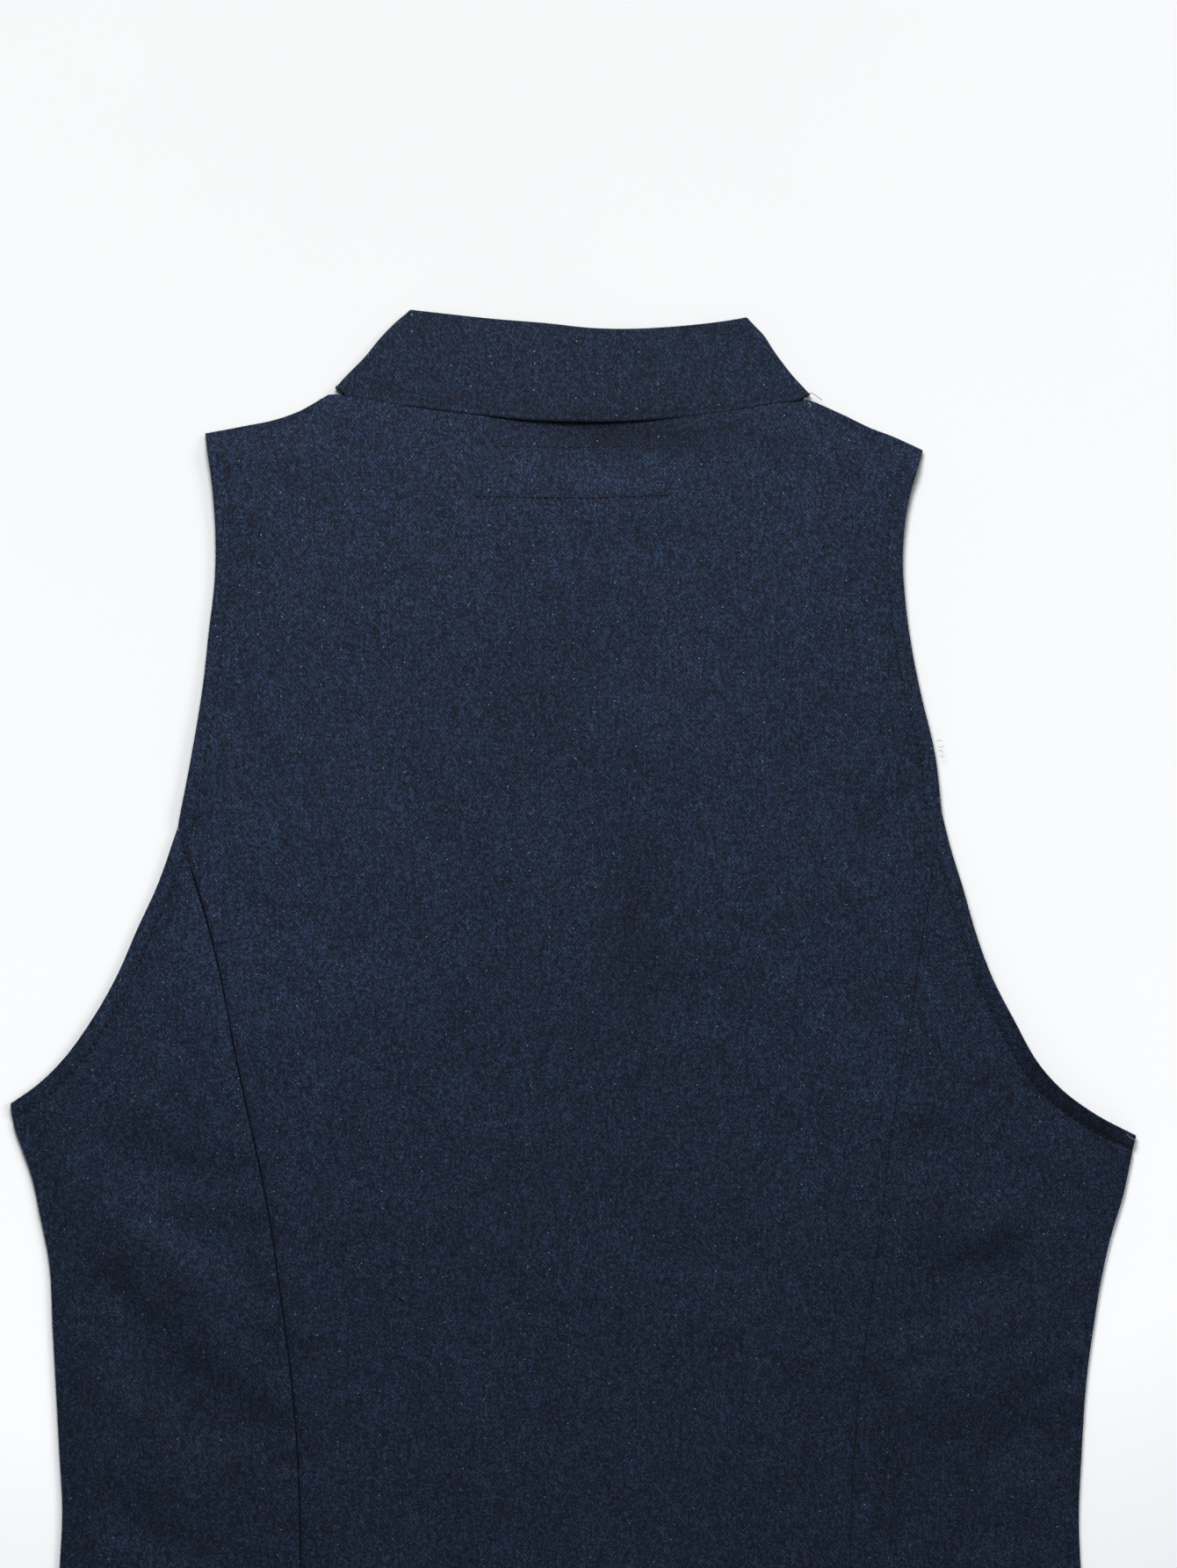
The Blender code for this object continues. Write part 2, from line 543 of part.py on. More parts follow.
def make_button(name, place, material):
    """A sew-through button with a raised rim and four holes, its face on the table."""
    rim_width, dish, edge_round = 1.4 * MM, 0.6 * MM, 0.4 * MM
    r, t = BUTTON_RADIUS, BUTTON_THICK
    profile = ((0.0, dish), (r - rim_width - dish, dish), (r - rim_width, 0.0), (r - edge_round, 0.0),
               (r, edge_round), (r, t - edge_round), (r - edge_round, t), (0.0, t))
    mesh = bmesh.new()
    ring = [mesh.verts.new((x, 0.0, z)) for x, z in profile]
    for a, b in zip(ring, ring[1:]):
        mesh.edges.new((a, b))
    bmesh.ops.spin(mesh, geom=mesh.verts[:] + mesh.edges[:], cent=(0, 0, 0), axis=(0, 0, 1),
                   angle=math.tau, steps=BUTTON_SIDES, use_merge=True)
    bmesh.ops.remove_doubles(mesh, verts=mesh.verts, dist=0.01 * MM)
    made = finished(name, mesh, material)
    made.location = place
    cutter = bpy.data.objects.get("button_holes") or make_hole_cutter()
    cut = made.modifiers.new("holes", "BOOLEAN")
    cut.object = cutter.copy()
    cut.object.name = name + "_holes"
    bpy.context.scene.collection.objects.link(cut.object)
    cut.object.location = place
    cut.operation = "DIFFERENCE"
    cut.solver = "EXACT"
    return made


def make_hole_cutter():
    """Four pins that cut the thread holes of a button. It is a helper and isn't part of the garment."""
    hole_radius, hole_place, pin = 0.8 * MM, 1.45 * MM, 4 * BUTTON_THICK
    mesh = bmesh.new()
    for k in range(4):
        angle = math.pi / 4 + k * math.pi / 2
        made = bmesh.ops.create_cone(mesh, cap_ends=True, segments=6, radius1=hole_radius,
                                     radius2=hole_radius, depth=pin)
        step = (hole_place * math.cos(angle), hole_place * math.sin(angle), BUTTON_THICK / 2)
        bmesh.ops.translate(mesh, verts=made["verts"], vec=step)
    bmesh.ops.recalc_face_normals(mesh, faces=mesh.faces)
    data = bpy.data.meshes.new("button_holes")
    mesh.to_mesh(data)
    mesh.free()
    cutter = bpy.data.objects.new("button_holes", data)
    cutter.hide_render = True
    cutter.display_type = "WIRE"
    bpy.context.scene.collection.objects.link(cutter)
    return cutter


def main():
    for old in list(bpy.data.objects):
        bpy.data.objects.remove(old, do_unlink=True)
    denim = finish("denim", (0.014, 0.023, 0.045), 0.85)
    horn = finish("button", (0.012, 0.015, 0.024), 0.35)
    lines = garment_lines()
    make_back_centre(lines, denim)
    make_back_side("back_side_left", "left", lines, denim)
    make_back_side("back_side_right", "right", lines, denim)
    make_front("front_left", "left", lines, denim)
    make_front("front_right", "right", lines, denim)
    make_collar(lines, denim)
    for k in range(BUTTON_COUNT):
        y = NECK_PIT_Y * MM - FIRST_BUTTON - k * BUTTON_SPACING
        make_button(f"button_{k + 1}", (0.0, y, 0.0), horn)


main()
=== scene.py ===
"""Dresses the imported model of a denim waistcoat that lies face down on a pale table.

The collar points along +Y and the hem along -Y. +X is the wearer's right-hand side. The underside of the
fronts lies on z = 0. Plan tables, heights and sewing are in millimetres until a mesh is made.
"""

import math

import bmesh
import bpy
import numpy as np
from mathutils import Matrix, Vector


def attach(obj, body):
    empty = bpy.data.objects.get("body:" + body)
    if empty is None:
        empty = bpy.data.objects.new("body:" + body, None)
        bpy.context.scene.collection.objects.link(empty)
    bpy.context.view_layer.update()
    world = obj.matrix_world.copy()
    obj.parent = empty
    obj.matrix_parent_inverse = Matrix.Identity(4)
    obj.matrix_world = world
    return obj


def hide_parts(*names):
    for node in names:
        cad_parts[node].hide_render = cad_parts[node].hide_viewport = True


bl_info = {
    "name": "Denim Waistcoat",
    "version": (1, 0, 0),
    "blender": (4, 5, 0),
    "location": "3D View > Sidebar > Waistcoat",
    "description": "Creased cloth, sewing and buttons of a waistcoat that is laid flat",
    "category": "Object",
}

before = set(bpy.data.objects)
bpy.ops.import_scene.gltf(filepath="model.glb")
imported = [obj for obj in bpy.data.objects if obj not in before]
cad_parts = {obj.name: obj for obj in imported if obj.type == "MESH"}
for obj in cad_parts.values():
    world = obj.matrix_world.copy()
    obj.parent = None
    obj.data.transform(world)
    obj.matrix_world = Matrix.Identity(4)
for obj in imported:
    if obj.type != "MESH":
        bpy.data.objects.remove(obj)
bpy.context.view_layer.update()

# Driving sizes of the garment
MM = 0.001
CLOTH = 1.0  # one panel's wall
TURNED_HEM = 0.6  # what a turned and stitched edge adds to the wall
SEAM = 0.3  # gap between two pieces
SEAM_EDGE = CLOTH + SEAM  # height of the back's underside where it is sewn to a front
COLLAR_WALL = 1.8
COLLAR_HOLLOW = 1.0  # between the collar's back half and its front half
COLLAR_RISE = 0.85  # how much the middle of the collar's back half arches up
ARMHOLE_BAND = 6.5  # width of the turned edges, and of the slope beside them
HEM_BAND = 20.0
BAND_SLOPE = 1.5
OVERLAP = 15.0  # how far each front passes the middle line
PLACKET_FLAT = 4.0  # how far a front stays raised beside the placket
PLACKET_SLOPE = 23.0  # the stretch over which it then comes down
BUTTON_RADIUS = 5.75
BUTTON_THICK = 2.0
BUTTON_COUNT = 6
BUTTON_SPACING = 80.0
FIRST_BUTTON = 14.0  # below the pit of the neck
HOLE_PLACE = 1.45  # from a button's middle to the middle of each thread hole

# How the back lies on the fronts
SIDE_HEIGHT = 3.5  # height of its underside off the middle
MIDDLE_RISE = 1.9  # what the placket beneath adds in the middle, and over what half width
MIDDLE_HALF_WIDTH = 80.0
NECK_RISE = 0.5  # the same near the collar, and over how far it changes to that
NECK_SETTLE = 30.0
NECK_LIFT = 0.9  # how much the fold of the collar lifts the panels at the neck points
NECK_LIFT_RADIUS = 15.0
ARMHOLE_EDGE = 2.2  # height at the armholes
ARMHOLE_SAG = 0.7  # how much lower the left underarm edge is
EDGE_ROLL = 16.0  # how far from an edge the back comes down to it
HEM_ROLL = 45.0
HEM_REST = 0.3
BACK_SLOPE = 32.0  # the stretch beside the placket over which the hem of the back comes down
PLACKET_RISE = BUTTON_THICK + CLOTH + 2 * SEAM + HEM_REST  # what the placket adds below the hem of the back
FOLD_GAIN = 3.2  # how much deeper the folds are than in the solids
FOLD_ROOM = 0.9  # how much higher the back lies for them, from how near the neck and over what slope
ROOM_START = 3.0
ROOM_SLOPE = 26.0
CREASE_GAIN = 3.0
CREASE_FADE = 7.0  # from a seam to where the creases have their full height
HEM_CREASE_FADE = 12.0  # the same from the hem, where a part of them goes on to the edge
HEM_CREASE_SHARE = 0.35
PUCKER_GAIN = 4.2
PUCKER_FADE = 3.0
CURL_BAND = 9.0  # how far from its edge an underarm curls, and how near a seam it still does
CURL_FADE = 12.0

# Sewing
SEAM_STEP = 0.45  # how much higher the centre back lies at the princess seams, on the pressed seam allowance
SEAM_ALLOWANCE = 9.0
ALLOWANCE_SLOPE = 6.0
SEAM_OPEN = 0.3  # how far each side of the left princess seam stands off its line
SEAM_DIPS = (0.14, 1.3), (0.5, 2.0)  # depth and half width of the dip along both princess seams and the left one
ARMHOLE_STITCH = 5.7  # from the armhole edge
HEM_STITCH = 18.6  # from the hem
STITCH_DIPS = (0.16, 0.7), (0.9, 1.2), (0.45, 0.75)  # depth and half width at the armholes, the underarms, the hem
PULL_LENGTH = 5.6  # from one pull of the stitching to the next, and how high each stands
PULL_HEIGHT = 0.09
PULL_LEAN = 0.6  # millimetres along the garment for each one across
PULL_SWAY = 1.7  # how unevenly the pulls follow each other, and over what stretch
PULL_SWAY_LENGTH = 13.0
PULL_WIDTHS = 2.2, 2.6  # half width of the pulls at the armholes and at the hem
COLLAR_STITCH = 1.7  # from the lower edge of the collar
COLLAR_OVERHANG = 0.45  # how far the collar's lower edge laps over the neck
NECK_DIP = 0.6  # how far the back dips below that edge, and over what half width
NECK_DIP_WIDTH = 2.4
# A stitch, from end to end: the place in its length, its width and how far it sinks in, in half widths
STITCH_PROFILE = (-0.5, 0.45, -0.9), (-0.36, 1.0, 0.0), (0.36, 1.0, 0.0), (0.5, 0.45, -0.9)
PLACKET_STITCH = 6.0  # from the front edge
PLACKET_STITCH_LOW = -298.5  # along the garment, where the row starts
FRONT_DIP = 0.24  # how deep the stitching sinks into the fronts, and over what half width
FRONT_DIP_WIDTH = 0.6
FRONT_CREASE_START = 42.0  # from the middle line to where the fronts start to crease, and over what slope
FRONT_CREASE_SLOPE = 14.0
FRONT_SEAM_FADE, FRONT_HEM_FADE, FRONT_ARMHOLE_FADE = 18.0, 26.0, 14.0
FRONT_RIPPLE = 1.6
FRONT_CLEAR = 0.2  # left free below the back where a front creases
LABEL_THICK = 0.3  # how much the label held on the inside lifts the cloth, and where that ends
LABEL_TOP = 246.0
LABEL_HALF_WIDTH = 40.0
LABEL_LOW_SLOPE, LABEL_TOP_SLOPE, LABEL_SIDE_SLOPE = 2.6, 7.0, 6.0
LABEL_ROW = ((-37.7, 230.0), (-18.0, 229.6), (4.0, 229.3), (22.0, 229.8), (37.7, 230.4))
LABEL_TOP_ROW = ((-31.0, 249.2), (2.0, 249.0), (34.3, 249.6))
LABEL_TACKS = (((34.0, 255.1), (34.2, 250.8)), ((34.0, 241.8), (34.1, 240.2)))
BLACK_THREAD = (0.004, 0.005, 0.009)

WAY_OUT = {"left": -1.0, "right": 1.0}  # which way each side lies from the middle

# Outline of the laid garment, each line as x and y of its points
OUTLINE = {
    "hem": ((-211, -296.5), (-110, -300.2), (0, -301.2), (110, -300.2), (210.5, -296.5)),
    "left_side": ((-211, -296.5), (-206, -260), (-200, -220), (-196.1, -178.7), (-195.1, -155), (-196.1, -136.8),
        (-198.8, -86.6), (-200.2, -61.5), (-203.5, -44.7), (-207.2, -28), (-210.2, -19.6), (-213.4, -10.5),
        (-214.9, -1.8)),
    "right_side": ((210.5, -296.5), (204.5, -260), (198, -220), (193.8, -178.7), (193.1, -160), (194.1, -136.8),
        (196.5, -103.3), (198.8, -86.6), (201.5, -69.8), (205.2, -53.1), (210.2, -36.3), (213.2, -22),
        (214.9, -13.9)),
    "left_low": ((-214.9, -1.8), (-204.5, 5.5), (-195.8, 13.9), (-183.4, 30.7), (-174, 47.4), (-166.7, 64.2),
        (-159, 80.9), (-150.9, 103.7)),
    "right_low": ((214.9, -13.9), (197.5, -4.5), (185.4, 4.5), (177, 13.9), (167.7, 30.7), (159.3, 47.4),
        (153.3, 64.2), (148.6, 80.9), (143.5, 97.7), (140.6, 110)),
    "left_high": ((-150.9, 103.7), (-145.6, 131.2), (-141.5, 156.3), (-138.9, 179.7), (-136.8, 198.2),
        (-136.5, 214.9), (-137.5, 231.7), (-140.5, 254.1)),
    "right_high": ((140.6, 110), (138.2, 131.2), (132.6, 155), (129.1, 173), (126.8, 189.8), (125.8, 204.8),
        (127.1, 223.3), (133.5, 247.7)),
    "left_shoulder": ((-140.5, 254.1), (-124.8, 257.1), (-114.7, 259.1), (-104.7, 262.5), (-93.4, 268.9)),
    "right_shoulder": ((133.5, 247.7), (121.8, 253.1), (113.7, 256.1), (104.8, 260.4), (92.6, 265.9)),
    "left_princess": ((-117, -300), (-111, -260), (-106, -220), (-104, -178.7), (-105, -136.8), (-107, -110),
        (-110.4, -83.2), (-114.1, -56.4), (-118.1, -33), (-123.1, -9.5), (-128.8, 17.3), (-133.2, 40.7),
        (-138.2, 62.5), (-144.2, 83), (-150.9, 103.7)),
    "right_princess": ((118, -300), (112, -260), (107, -220), (105.4, -178.7), (107, -133.5), (109, -110),
        (112.1, -86.6), (115.1, -63.1), (118.4, -36.3), (121.1, -12.9), (125.8, 15.6), (129.5, 36.7), (133.5, 64.8),
        (137.2, 89.3), (140.6, 110)),
    "neck": ((-90.6, 269.3), (-74.5, 266.2), (-53.8, 263.5), (-33.3, 261), (-18.6, 259.5), (-1.2, 258.8),
        (15.9, 258.8), (35, 259.8), (57.5, 262.1), (71.9, 264.8), (90.2, 267.3)),
    "collar_top": ((-62.5, 301.2), (-51.1, 299.9), (-31, 297.7), (-10.9, 296), (9.2, 294), (19.3, 293.8),
        (39.4, 294.8), (59.5, 297.1), (66.5, 298.3)),
    "left_fold": ((-91.4, 271), (-87.3, 275.4), (-80.9, 282.1), (-72.2, 292.2), (-62.5, 301.2)),
    "right_fold": ((91, 268.4), (87.3, 272.4), (81.9, 278.8), (76.9, 285.3), (72.5, 291.9), (66.5, 298.3)),
    "left_front_armhole": ((-214.9, -1.8), (-186, 15), (-164, 45), (-146, 90), (-136, 140), (-131, 200),
        (-140.5, 254.1)),
    "right_front_armhole": ((214.9, -13.9), (180, 2), (157, 33), (141, 80), (130, 135), (121, 195), (133.5, 247.7)),
}
NECK_PIT_Y = 197.0
COLLAR_HEIGHT = 34.5

# Folds and creases, one row each: from x, from y, to x, to y, half width, height
FOLDS = (
    (-198, -14, -124, -34, 9, -1.2),
    (-178, -33, -128, -63, 7, -0.8),
    (-178, -30, -121, -110, 12, 1.5),
    (-193, -56, -160, -103, 11, -1.5),
    (-166, -96, -108, -137, 11, -1.7),
    (-184, -112, -130, -166, 14, 0.8),
    (144, -8, 121, -30, 8, -1.2),
    (183, -26, 136, -73, 11, 1.4),
    (180, -44, 114, -94, 13, -1.7),
    (192, -92, 124, -126, 13, 0.9),
    (192, -118, 150, -146, 12, -1),
    (118, 128, 112, 70, 7, -0.9),
    (136, 68, 134, 36, 6, -0.8),
    (-60, 190, -12, 20, 26, 0.55),
    (14, 196, 78, 12, 24, 0.8),
)
SIDE_CREASES = (
    (-198, -24, -168, -19, 3.5, 0.4),
    (-190, -66, -166, -97, 4.5, 0.5),
    (-176, -46, -141, -86, 4.5, -0.5),
    (-152, -58, -122, -82, 4.5, 0.45),
    (-190, -102, -152, -128, 5.5, 0.6),
    (-160, -118, -127, -139, 3.5, -0.55),
    (-191, -142, -150, -178, 8, -0.6),
    (-179, -168, -126, -197, 9, 0.6),
    (-190, -204, -139, -231, 8, -0.55),
    (-198, -236, -152, -255, 6.5, 0.45),
    (-160, 36, -146, 12, 4, -0.35),
    (-151, 62, -142, 40, 3.5, 0.3),
    (-178, 4, -150, -8, 5, 0.4),
    (184, -20, 161, -43, 4.5, -0.5),
    (172, -38, 141, -64, 4, 0.45),
    (168, -60, 124, -88, 5, -0.6),
    (189, -70, 151, -96, 5.5, 0.5),
    (152, -91, 118, -108, 3.5, -0.45),
    (187, -101, 162, -121, 4.5, -0.5),
    (189, -150, 150, -180, 8, -0.6),
    (183, -163, 129, -206, 9, 0.55),
    (192, -214, 138, -239, 7.5, -0.5),
    (198, -243, 149, -262, 6.5, 0.45),
    (126, -13, 137, -31, 2.4, -0.5),
    (134, -73, 134.5, -86, 2, -0.4),
    (113, -106, 121, -118, 2.2, -0.4),
    (176, -121, 181, -140, 2.4, -0.5),
    (160, 22, 146, 4, 4, 0.4),
    (148, 50, 139, 26, 3.5, -0.35),
)
CENTRE_CREASES = (
    (-18, 192, 36, 24, 16, -0.5),
    (-92, 122, -70, 20, 12, 0.3),
    (70, 60, 97, -60, 12, -0.35),
    (-62, -50, -28, -205, 16, 0.4),
    (20, -72, 62, -232, 18, -0.4),
    (-96, -148, -58, -252, 10, 0.35),
    (92, -140, 68, -244, 10, 0.35),
    (-104, 196, -76, 150, 9, -0.3),
    (98, 204, 74, 158, 9, 0.3),
    (-60, 232, -24, 214, 7, 0.25),
    (-88, 262, -70, 253, 4, 0.35),
    (90, 261, 70, 250, 4, 0.3),
    (-24, 254, 46, 253, 4.2, -0.5),
    (-44, 249.6, 54, 248.8, 11, -0.9),
    (-120, 240, -100, 228, 6, -0.25),
    (114, 236, 96, 224, 6, -0.25),
    (-106, 60, -84, -30, 9, -0.35),
    (108, -24, 92, -108, 8, 0.35),
    (-30, 60, -44, -40, 14, -0.3),
)
# Areas of changed tone, partly uneven dye and partly painted light and shade: painted shade of folds and of the puckers
# beside the left princess seam, and a painted shadow under the collar's middle
TONE_AND_PAINTED_SHADE_AREAS = (  # x, y, half the width and half the length, degrees of lean, change of tone
    (-112, 52, 72, 62, 0, 0.19),
    (25, 56, 12, 38, 8, -0.27),
    (-17, 156, 28, 44, -10, -0.13),
    (26, 253, 46, 7.5, 0, -0.52),
    (98, 20, 36, 48, 0, 0.1),
    (124, -122, 42, 50, 0, -0.13),
    (-146, -125, 16, 40, 38, -0.2),
    (-150, 150, 26, 60, 0, 0.08),
    (-123, -45, 9, 3, -20, -0.2),
    (-120, -62, 8, 3.5, -20, -0.2),
    (-115, -88.5, 8, 2.4, -20, -0.26),
    (-111.5, -118, 8, 2.8, -20, -0.22),
    (-112.5, -138.5, 7, 2.5, 18, -0.42),
    (-110, -163, 8, 2.6, 0, -0.24),
)
PUCKERS = (
    (-140, 7.5, -128, 3, 2.8, 0.28),
    (-138, -2.5, -126, -8, 2.5, -0.28),
    (-136, -12.5, -123, -17, 2.8, 0.32),
    (-133.5, -23.5, -121, -29, 2.6, -0.30),
    (-131, -36.5, -118, -41, 3.1, 0.32),
    (-129, -46.5, -116, -53, 2.6, -0.26),
    (-127, -58.5, -114, -64, 2.9, 0.30),
    (-124.5, -70.5, -112, -78, 2.8, -0.30),
    (-123, -82.5, -110, -88, 3.1, 0.26),
    (-117.5, -115.5, -106, -118, 2.8, 0.30),
    (-119, -134.5, -105, -141, 2.9, -0.30),
    (-117, -141.5, -104.5, -144.5, 2.5, 0.26),
    (-116.5, -160.5, -104, -165, 2.9, -0.30),
    (-118, -187.5, -105, -193, 3.1, 0.30),
    (-119, -212.5, -106, -217, 2.8, -0.26),
    (-123, -241.5, -109, -247, 3.4, 0.30),
    (-110, -87.5, -93, -92, 3.1, 0.26),
    (112, -58, 119, -63, 2.8, -0.20),
    (108.5, -98, 116, -103, 2.8, 0.22),
    (106, -150, 113, -152, 2.6, -0.20),
    (106, -196, 114, -201, 3.1, 0.25),
    (110, -238, 118, -241, 2.8, -0.22),
    (198, -94, 188, -98, 3.1, 0.50),
    (196, -105, 186, -107, 2.6, -0.45),
    (195, -112, 187, -116, 2.5, 0.40),
    (194.5, -122, 184, -125, 3.1, -0.45),
    (-198, -120, -188, -124, 3.1, 0.35),
    (-198, -150, -188, -153, 2.8, -0.30),
)
RIGHT_FRONT_CREASES = (
    (58, 158, 112, 112, 10, 0.8),
    (52, 66, 148, 24, 13, 1),
    (72, 2, 172, -48, 12, 0.9),
    (60, -92, 152, -58, 9, 0.7),
    (82, -142, 164, -112, 12, 0.9),
    (52, -204, 148, -172, 11, 0.7),
    (60, -252, 142, -236, 8, 0.5),
    (116, 176, 104, 96, 7, 0.5),
    (66, 210, 96, 176, 8, 0.5),
    (164, -176, 182, -232, 8, 0.6),
)
LEFT_FRONT_CREASES = (
    (-62, 148, -106, 122, 9, 0.7),
    (-50, 90, -140, 36, 12, 1),
    (-84, 14, -176, -30, 13, 0.9),
    (-56, -60, -120, -86, 10, 0.8),
    (-96, -128, -170, -104, 11, 0.7),
    (-60, -158, -132, -196, 12, 0.8),
    (-72, -236, -150, -250, 8, 0.5),
    (-112, 186, -118, 104, 7, 0.5),
    (-60, 206, -92, 184, 7, 0.45),
    (-168, -160, -184, -214, 8, 0.55),
)
UNDERARM_CURLS = ((188, 8, 52, 6.2), (-180, 34, 36, 1))  # x, y, radius, height

# Loose thread ends on the back and at its edges, each with the height of its points above the cloth
CENTRE_THREAD = ((-66.5, -59.5, 0.2), (-67.5, -61.5, 0.5), (-67.8, -63.5, 0.3), (-68.2, -67.2, 0.2),
                 (-68.5, -71.9, 0.4), (-67.5, -73.9, 0.6), (-65.2, -76.5, 0.2))
CENTRE_FLECK = ((-71.9, -72.5, 0.2), (-71.2, -73.6, 0.3), (-72.3, -74.6, 0.2))
COLLAR_THREAD = ((89.6, 269.2, 1.4), (91.2, 269.1, 1.7), (92.3, 268.4, 1.6), (93.4, 267.7, 1.2), (95.0, 266.5, 1.0))
COLLAR_LOOP = ((89.4, 265.5, 0.6), (90.2, 265.2, 1.0), (90.6, 264.3, 1.0), (89.8, 263.9, 0.5))
UNDERARM_THREAD = ((211.0, -13.2, 0.4), (212.6, -14.6, 0.8), (214.0, -15.4, 0.9), (214.6, -16.6, 0.4))
FRAYED_ENDS = (
    ((138.6, 136.4), (139.9, 137.0), (140.9, 136.4)),
    ((139.0, 134.8), (140.4, 134.2), (141.3, 134.9)),
    ((139.1, 132.9), (140.6, 133.0), (141.0, 132.2)),
    ((139.2, 131.2), (140.7, 130.6), (141.6, 131.1)),
)

# Direction from which the far light on the right comes, and its share on a level surface
SIDE_LIGHT_FROM = (0.78, 0.3, 0.62)
SIDE_LIGHT_FALL = SIDE_LIGHT_FROM[2] / math.hypot(*SIDE_LIGHT_FROM)

# Mesh steps, as distances from an edge
PLAN_STEPS = 200
BAND_NEAR = (0.12, 0.35, 0.7, 1.2, 2.0, 3.2, 4.4, 5.0, 5.4, 5.8, 6.2, 6.8, 7.6, 9.0)
SLANTED_BAND_NEAR = (0.15, 0.45, 0.9, 1.6, 2.6, 3.8, 5.0, 5.5, 6.0, 6.5, 7.0, 7.5, 8.0, 8.6, 9.2, 10.0, 11.0, 12.2,
                     14.0, 16.0)
HEM_NEAR = (0.12, 0.35, 0.7, 1.4, 3.0, 6.0, 10.0, 14.0, 17.0, 17.8, 18.4, 18.9, 19.5, 20.4, 21.5, 24.0)
SEAM_NEAR = (0.12, 0.35, 0.7, 1.2, 2.0, 3.2, 5.0)
FRONT_HEM_NEAR = (0.12, 0.5, 1.2, 3.0, 8.0, 14.0, 17.6, 18.4, 19.0, 19.8, 22.0)
FRONT_TOP_NEAR = (0.12, 0.5, 1.2, 3.0)
FRONT_EDGE_NEAR = (0.12, 0.4, 0.9, 1.8, 3.0)
COLLAR_EDGE_NEAR = (0.0, 0.05, 0.2, 0.5, 0.9, 1.3, 1.7, 2.0, 2.4, 2.9, 3.6, 4.6)
COLLAR_TOP_NEAR = (0.0, 0.05, 0.18, 0.4, 0.7, 1.1, 1.6, 2.2, 3.0)
COLLAR_FRONT_CUTS, COLLAR_FOLD_CUTS, COLLAR_BACK_CUTS = 46, 15, 92
COLLAR_FRONT_CLEAR, COLLAR_BACK_CLEAR = 3.0, 4.5  # from the neck points, where the collar's fold takes over
LEAN_STEPS = 6  # of the neck line, near its ends, that tell which way the fold leans

# How each panel was laid on the bolt: degrees off the grain, and how far across and along
ON_BOLT = {
    "back_centre": (0.4, 0.0, 0.0),
    "back_side_left": (3.0, -330.0, 40.0),
    "back_side_right": (-2.5, 310.0, 40.0),
    "front_left": (1.0, -700.0, 0.0),
    "front_right": (-1.2, 700.0, 0.0),
    "collar": (0.0, 0.0, 900.0),
}
CAMERA_PLACE = (0.00586, 0.12027)  # above the middle of what the photo frames
SKY_COLOUR = (0.9, 0.98, 1.08, 1.0)
TABLE_HALF = 6.0  # metres
LINT_COLOUR = (0.34, 0.38, 0.42, 1.0)
SHEEN_COLOUR = (0.55, 0.68, 0.9, 1.0)


def curve_through(table):
    """A smooth line through the rows of a plan table, as many close points."""
    knots = np.array(table)
    chord = np.concatenate([[0.0], np.cumsum(np.linalg.norm(np.diff(knots, axis=0), axis=1))])
    slope = np.gradient(knots, chord, axis=0)
    place = np.linspace(0.0, chord[-1], 2 * PLAN_STEPS + 1)
    k = np.clip(np.searchsorted(chord, place, side="right") - 1, 0, len(knots) - 2)
    span = (chord[k + 1] - chord[k])[:, None]
    s = (place - chord[k])[:, None] / span
    return (
        (2 * s**3 - 3 * s**2 + 1) * knots[k]
        + (s**3 - 2 * s**2 + s) * span * slope[k]
        + (3 * s**2 - 2 * s**3) * knots[k + 1]
        + (s**3 - s**2) * span * slope[k + 1]
    )


def bezier(start, start_handle, end_handle, end):
    """A curve with handles, in the same form."""
    t = np.linspace(0.0, 1.0, 2 * PLAN_STEPS + 1)[:, None]
    points = [np.array(p) for p in (start, start_handle, end_handle, end)]
    return (
        (1 - t) ** 3 * points[0]
        + 3 * t * (1 - t) ** 2 * points[1]
        + 3 * t**2 * (1 - t) * points[2]
        + t**3 * points[3]
    )


def travelled(line):
    """The length of a line up to each of its points."""
    return np.concatenate([[0.0], np.cumsum(np.linalg.norm(np.diff(line, axis=0), axis=1))])


def at_lengths(line, lengths):
    """The points of a line at the given lengths from its start."""
    way = travelled(line)
    return np.stack([np.interp(lengths, way, line[:, i]) for i in range(line.shape[1])], axis=1)


def edge(*parts):
    """One side of a panel, in even steps. Each part is a line and the share of the steps that it takes."""
    points = []
    for line, share in parts:
        steps = round(share * PLAN_STEPS)
        points.append(at_lengths(line, np.linspace(0.0, travelled(line)[-1], steps + 1)))
    return np.concatenate([points[0]] + [p[1:] for p in points[1:]])


def patch(bottom, top, left, right):
    """Fills four sides that share their corners, as rows from the bottom to the top."""
    u = np.linspace(0.0, 1.0, PLAN_STEPS + 1)[None, :, None]
    v = np.linspace(0.0, 1.0, PLAN_STEPS + 1)[:, None, None]
    across = (1 - u) * left[:, None] + u * right[:, None]
    along = (1 - v) * bottom[None] + v * top[None]
    corners = (1 - v) * ((1 - u) * bottom[0] + u * bottom[-1]) + v * ((1 - u) * top[0] + u * top[-1])
    return across + along - corners


def stops(length, near_start, cells, near_end):
    """Lengths at which a line is cut: close to its ends as told, and evenly between."""
    first = near_start[-1] if near_start else 0.0
    last = length - (near_end[0] if near_end else 0.0)
    even = np.linspace(first, last, cells + 1)
    return np.concatenate([[0.0] * bool(near_start), near_start[:-1], even,
                           [length - d for d in near_end[1:]], [length] * bool(near_end)])


def cut_lines(grid, sections):
    """Cuts every row of a grid afresh. Each section is its share of the steps, its distances near the start,
    its even cells and its distances near the end, the farthest first."""
    rows = []
    for line in grid:
        row, start = [], 0
        for share, near_start, cells, near_end in sections:
            stop = start + round(share * PLAN_STEPS)
            piece = line[start:stop + 1]
            lengths = stops(travelled(piece)[-1], near_start, cells, near_end)
            row.append(at_lengths(piece, lengths)[bool(row):])
            start = stop
        rows.append(np.concatenate(row))
    return np.array(rows)


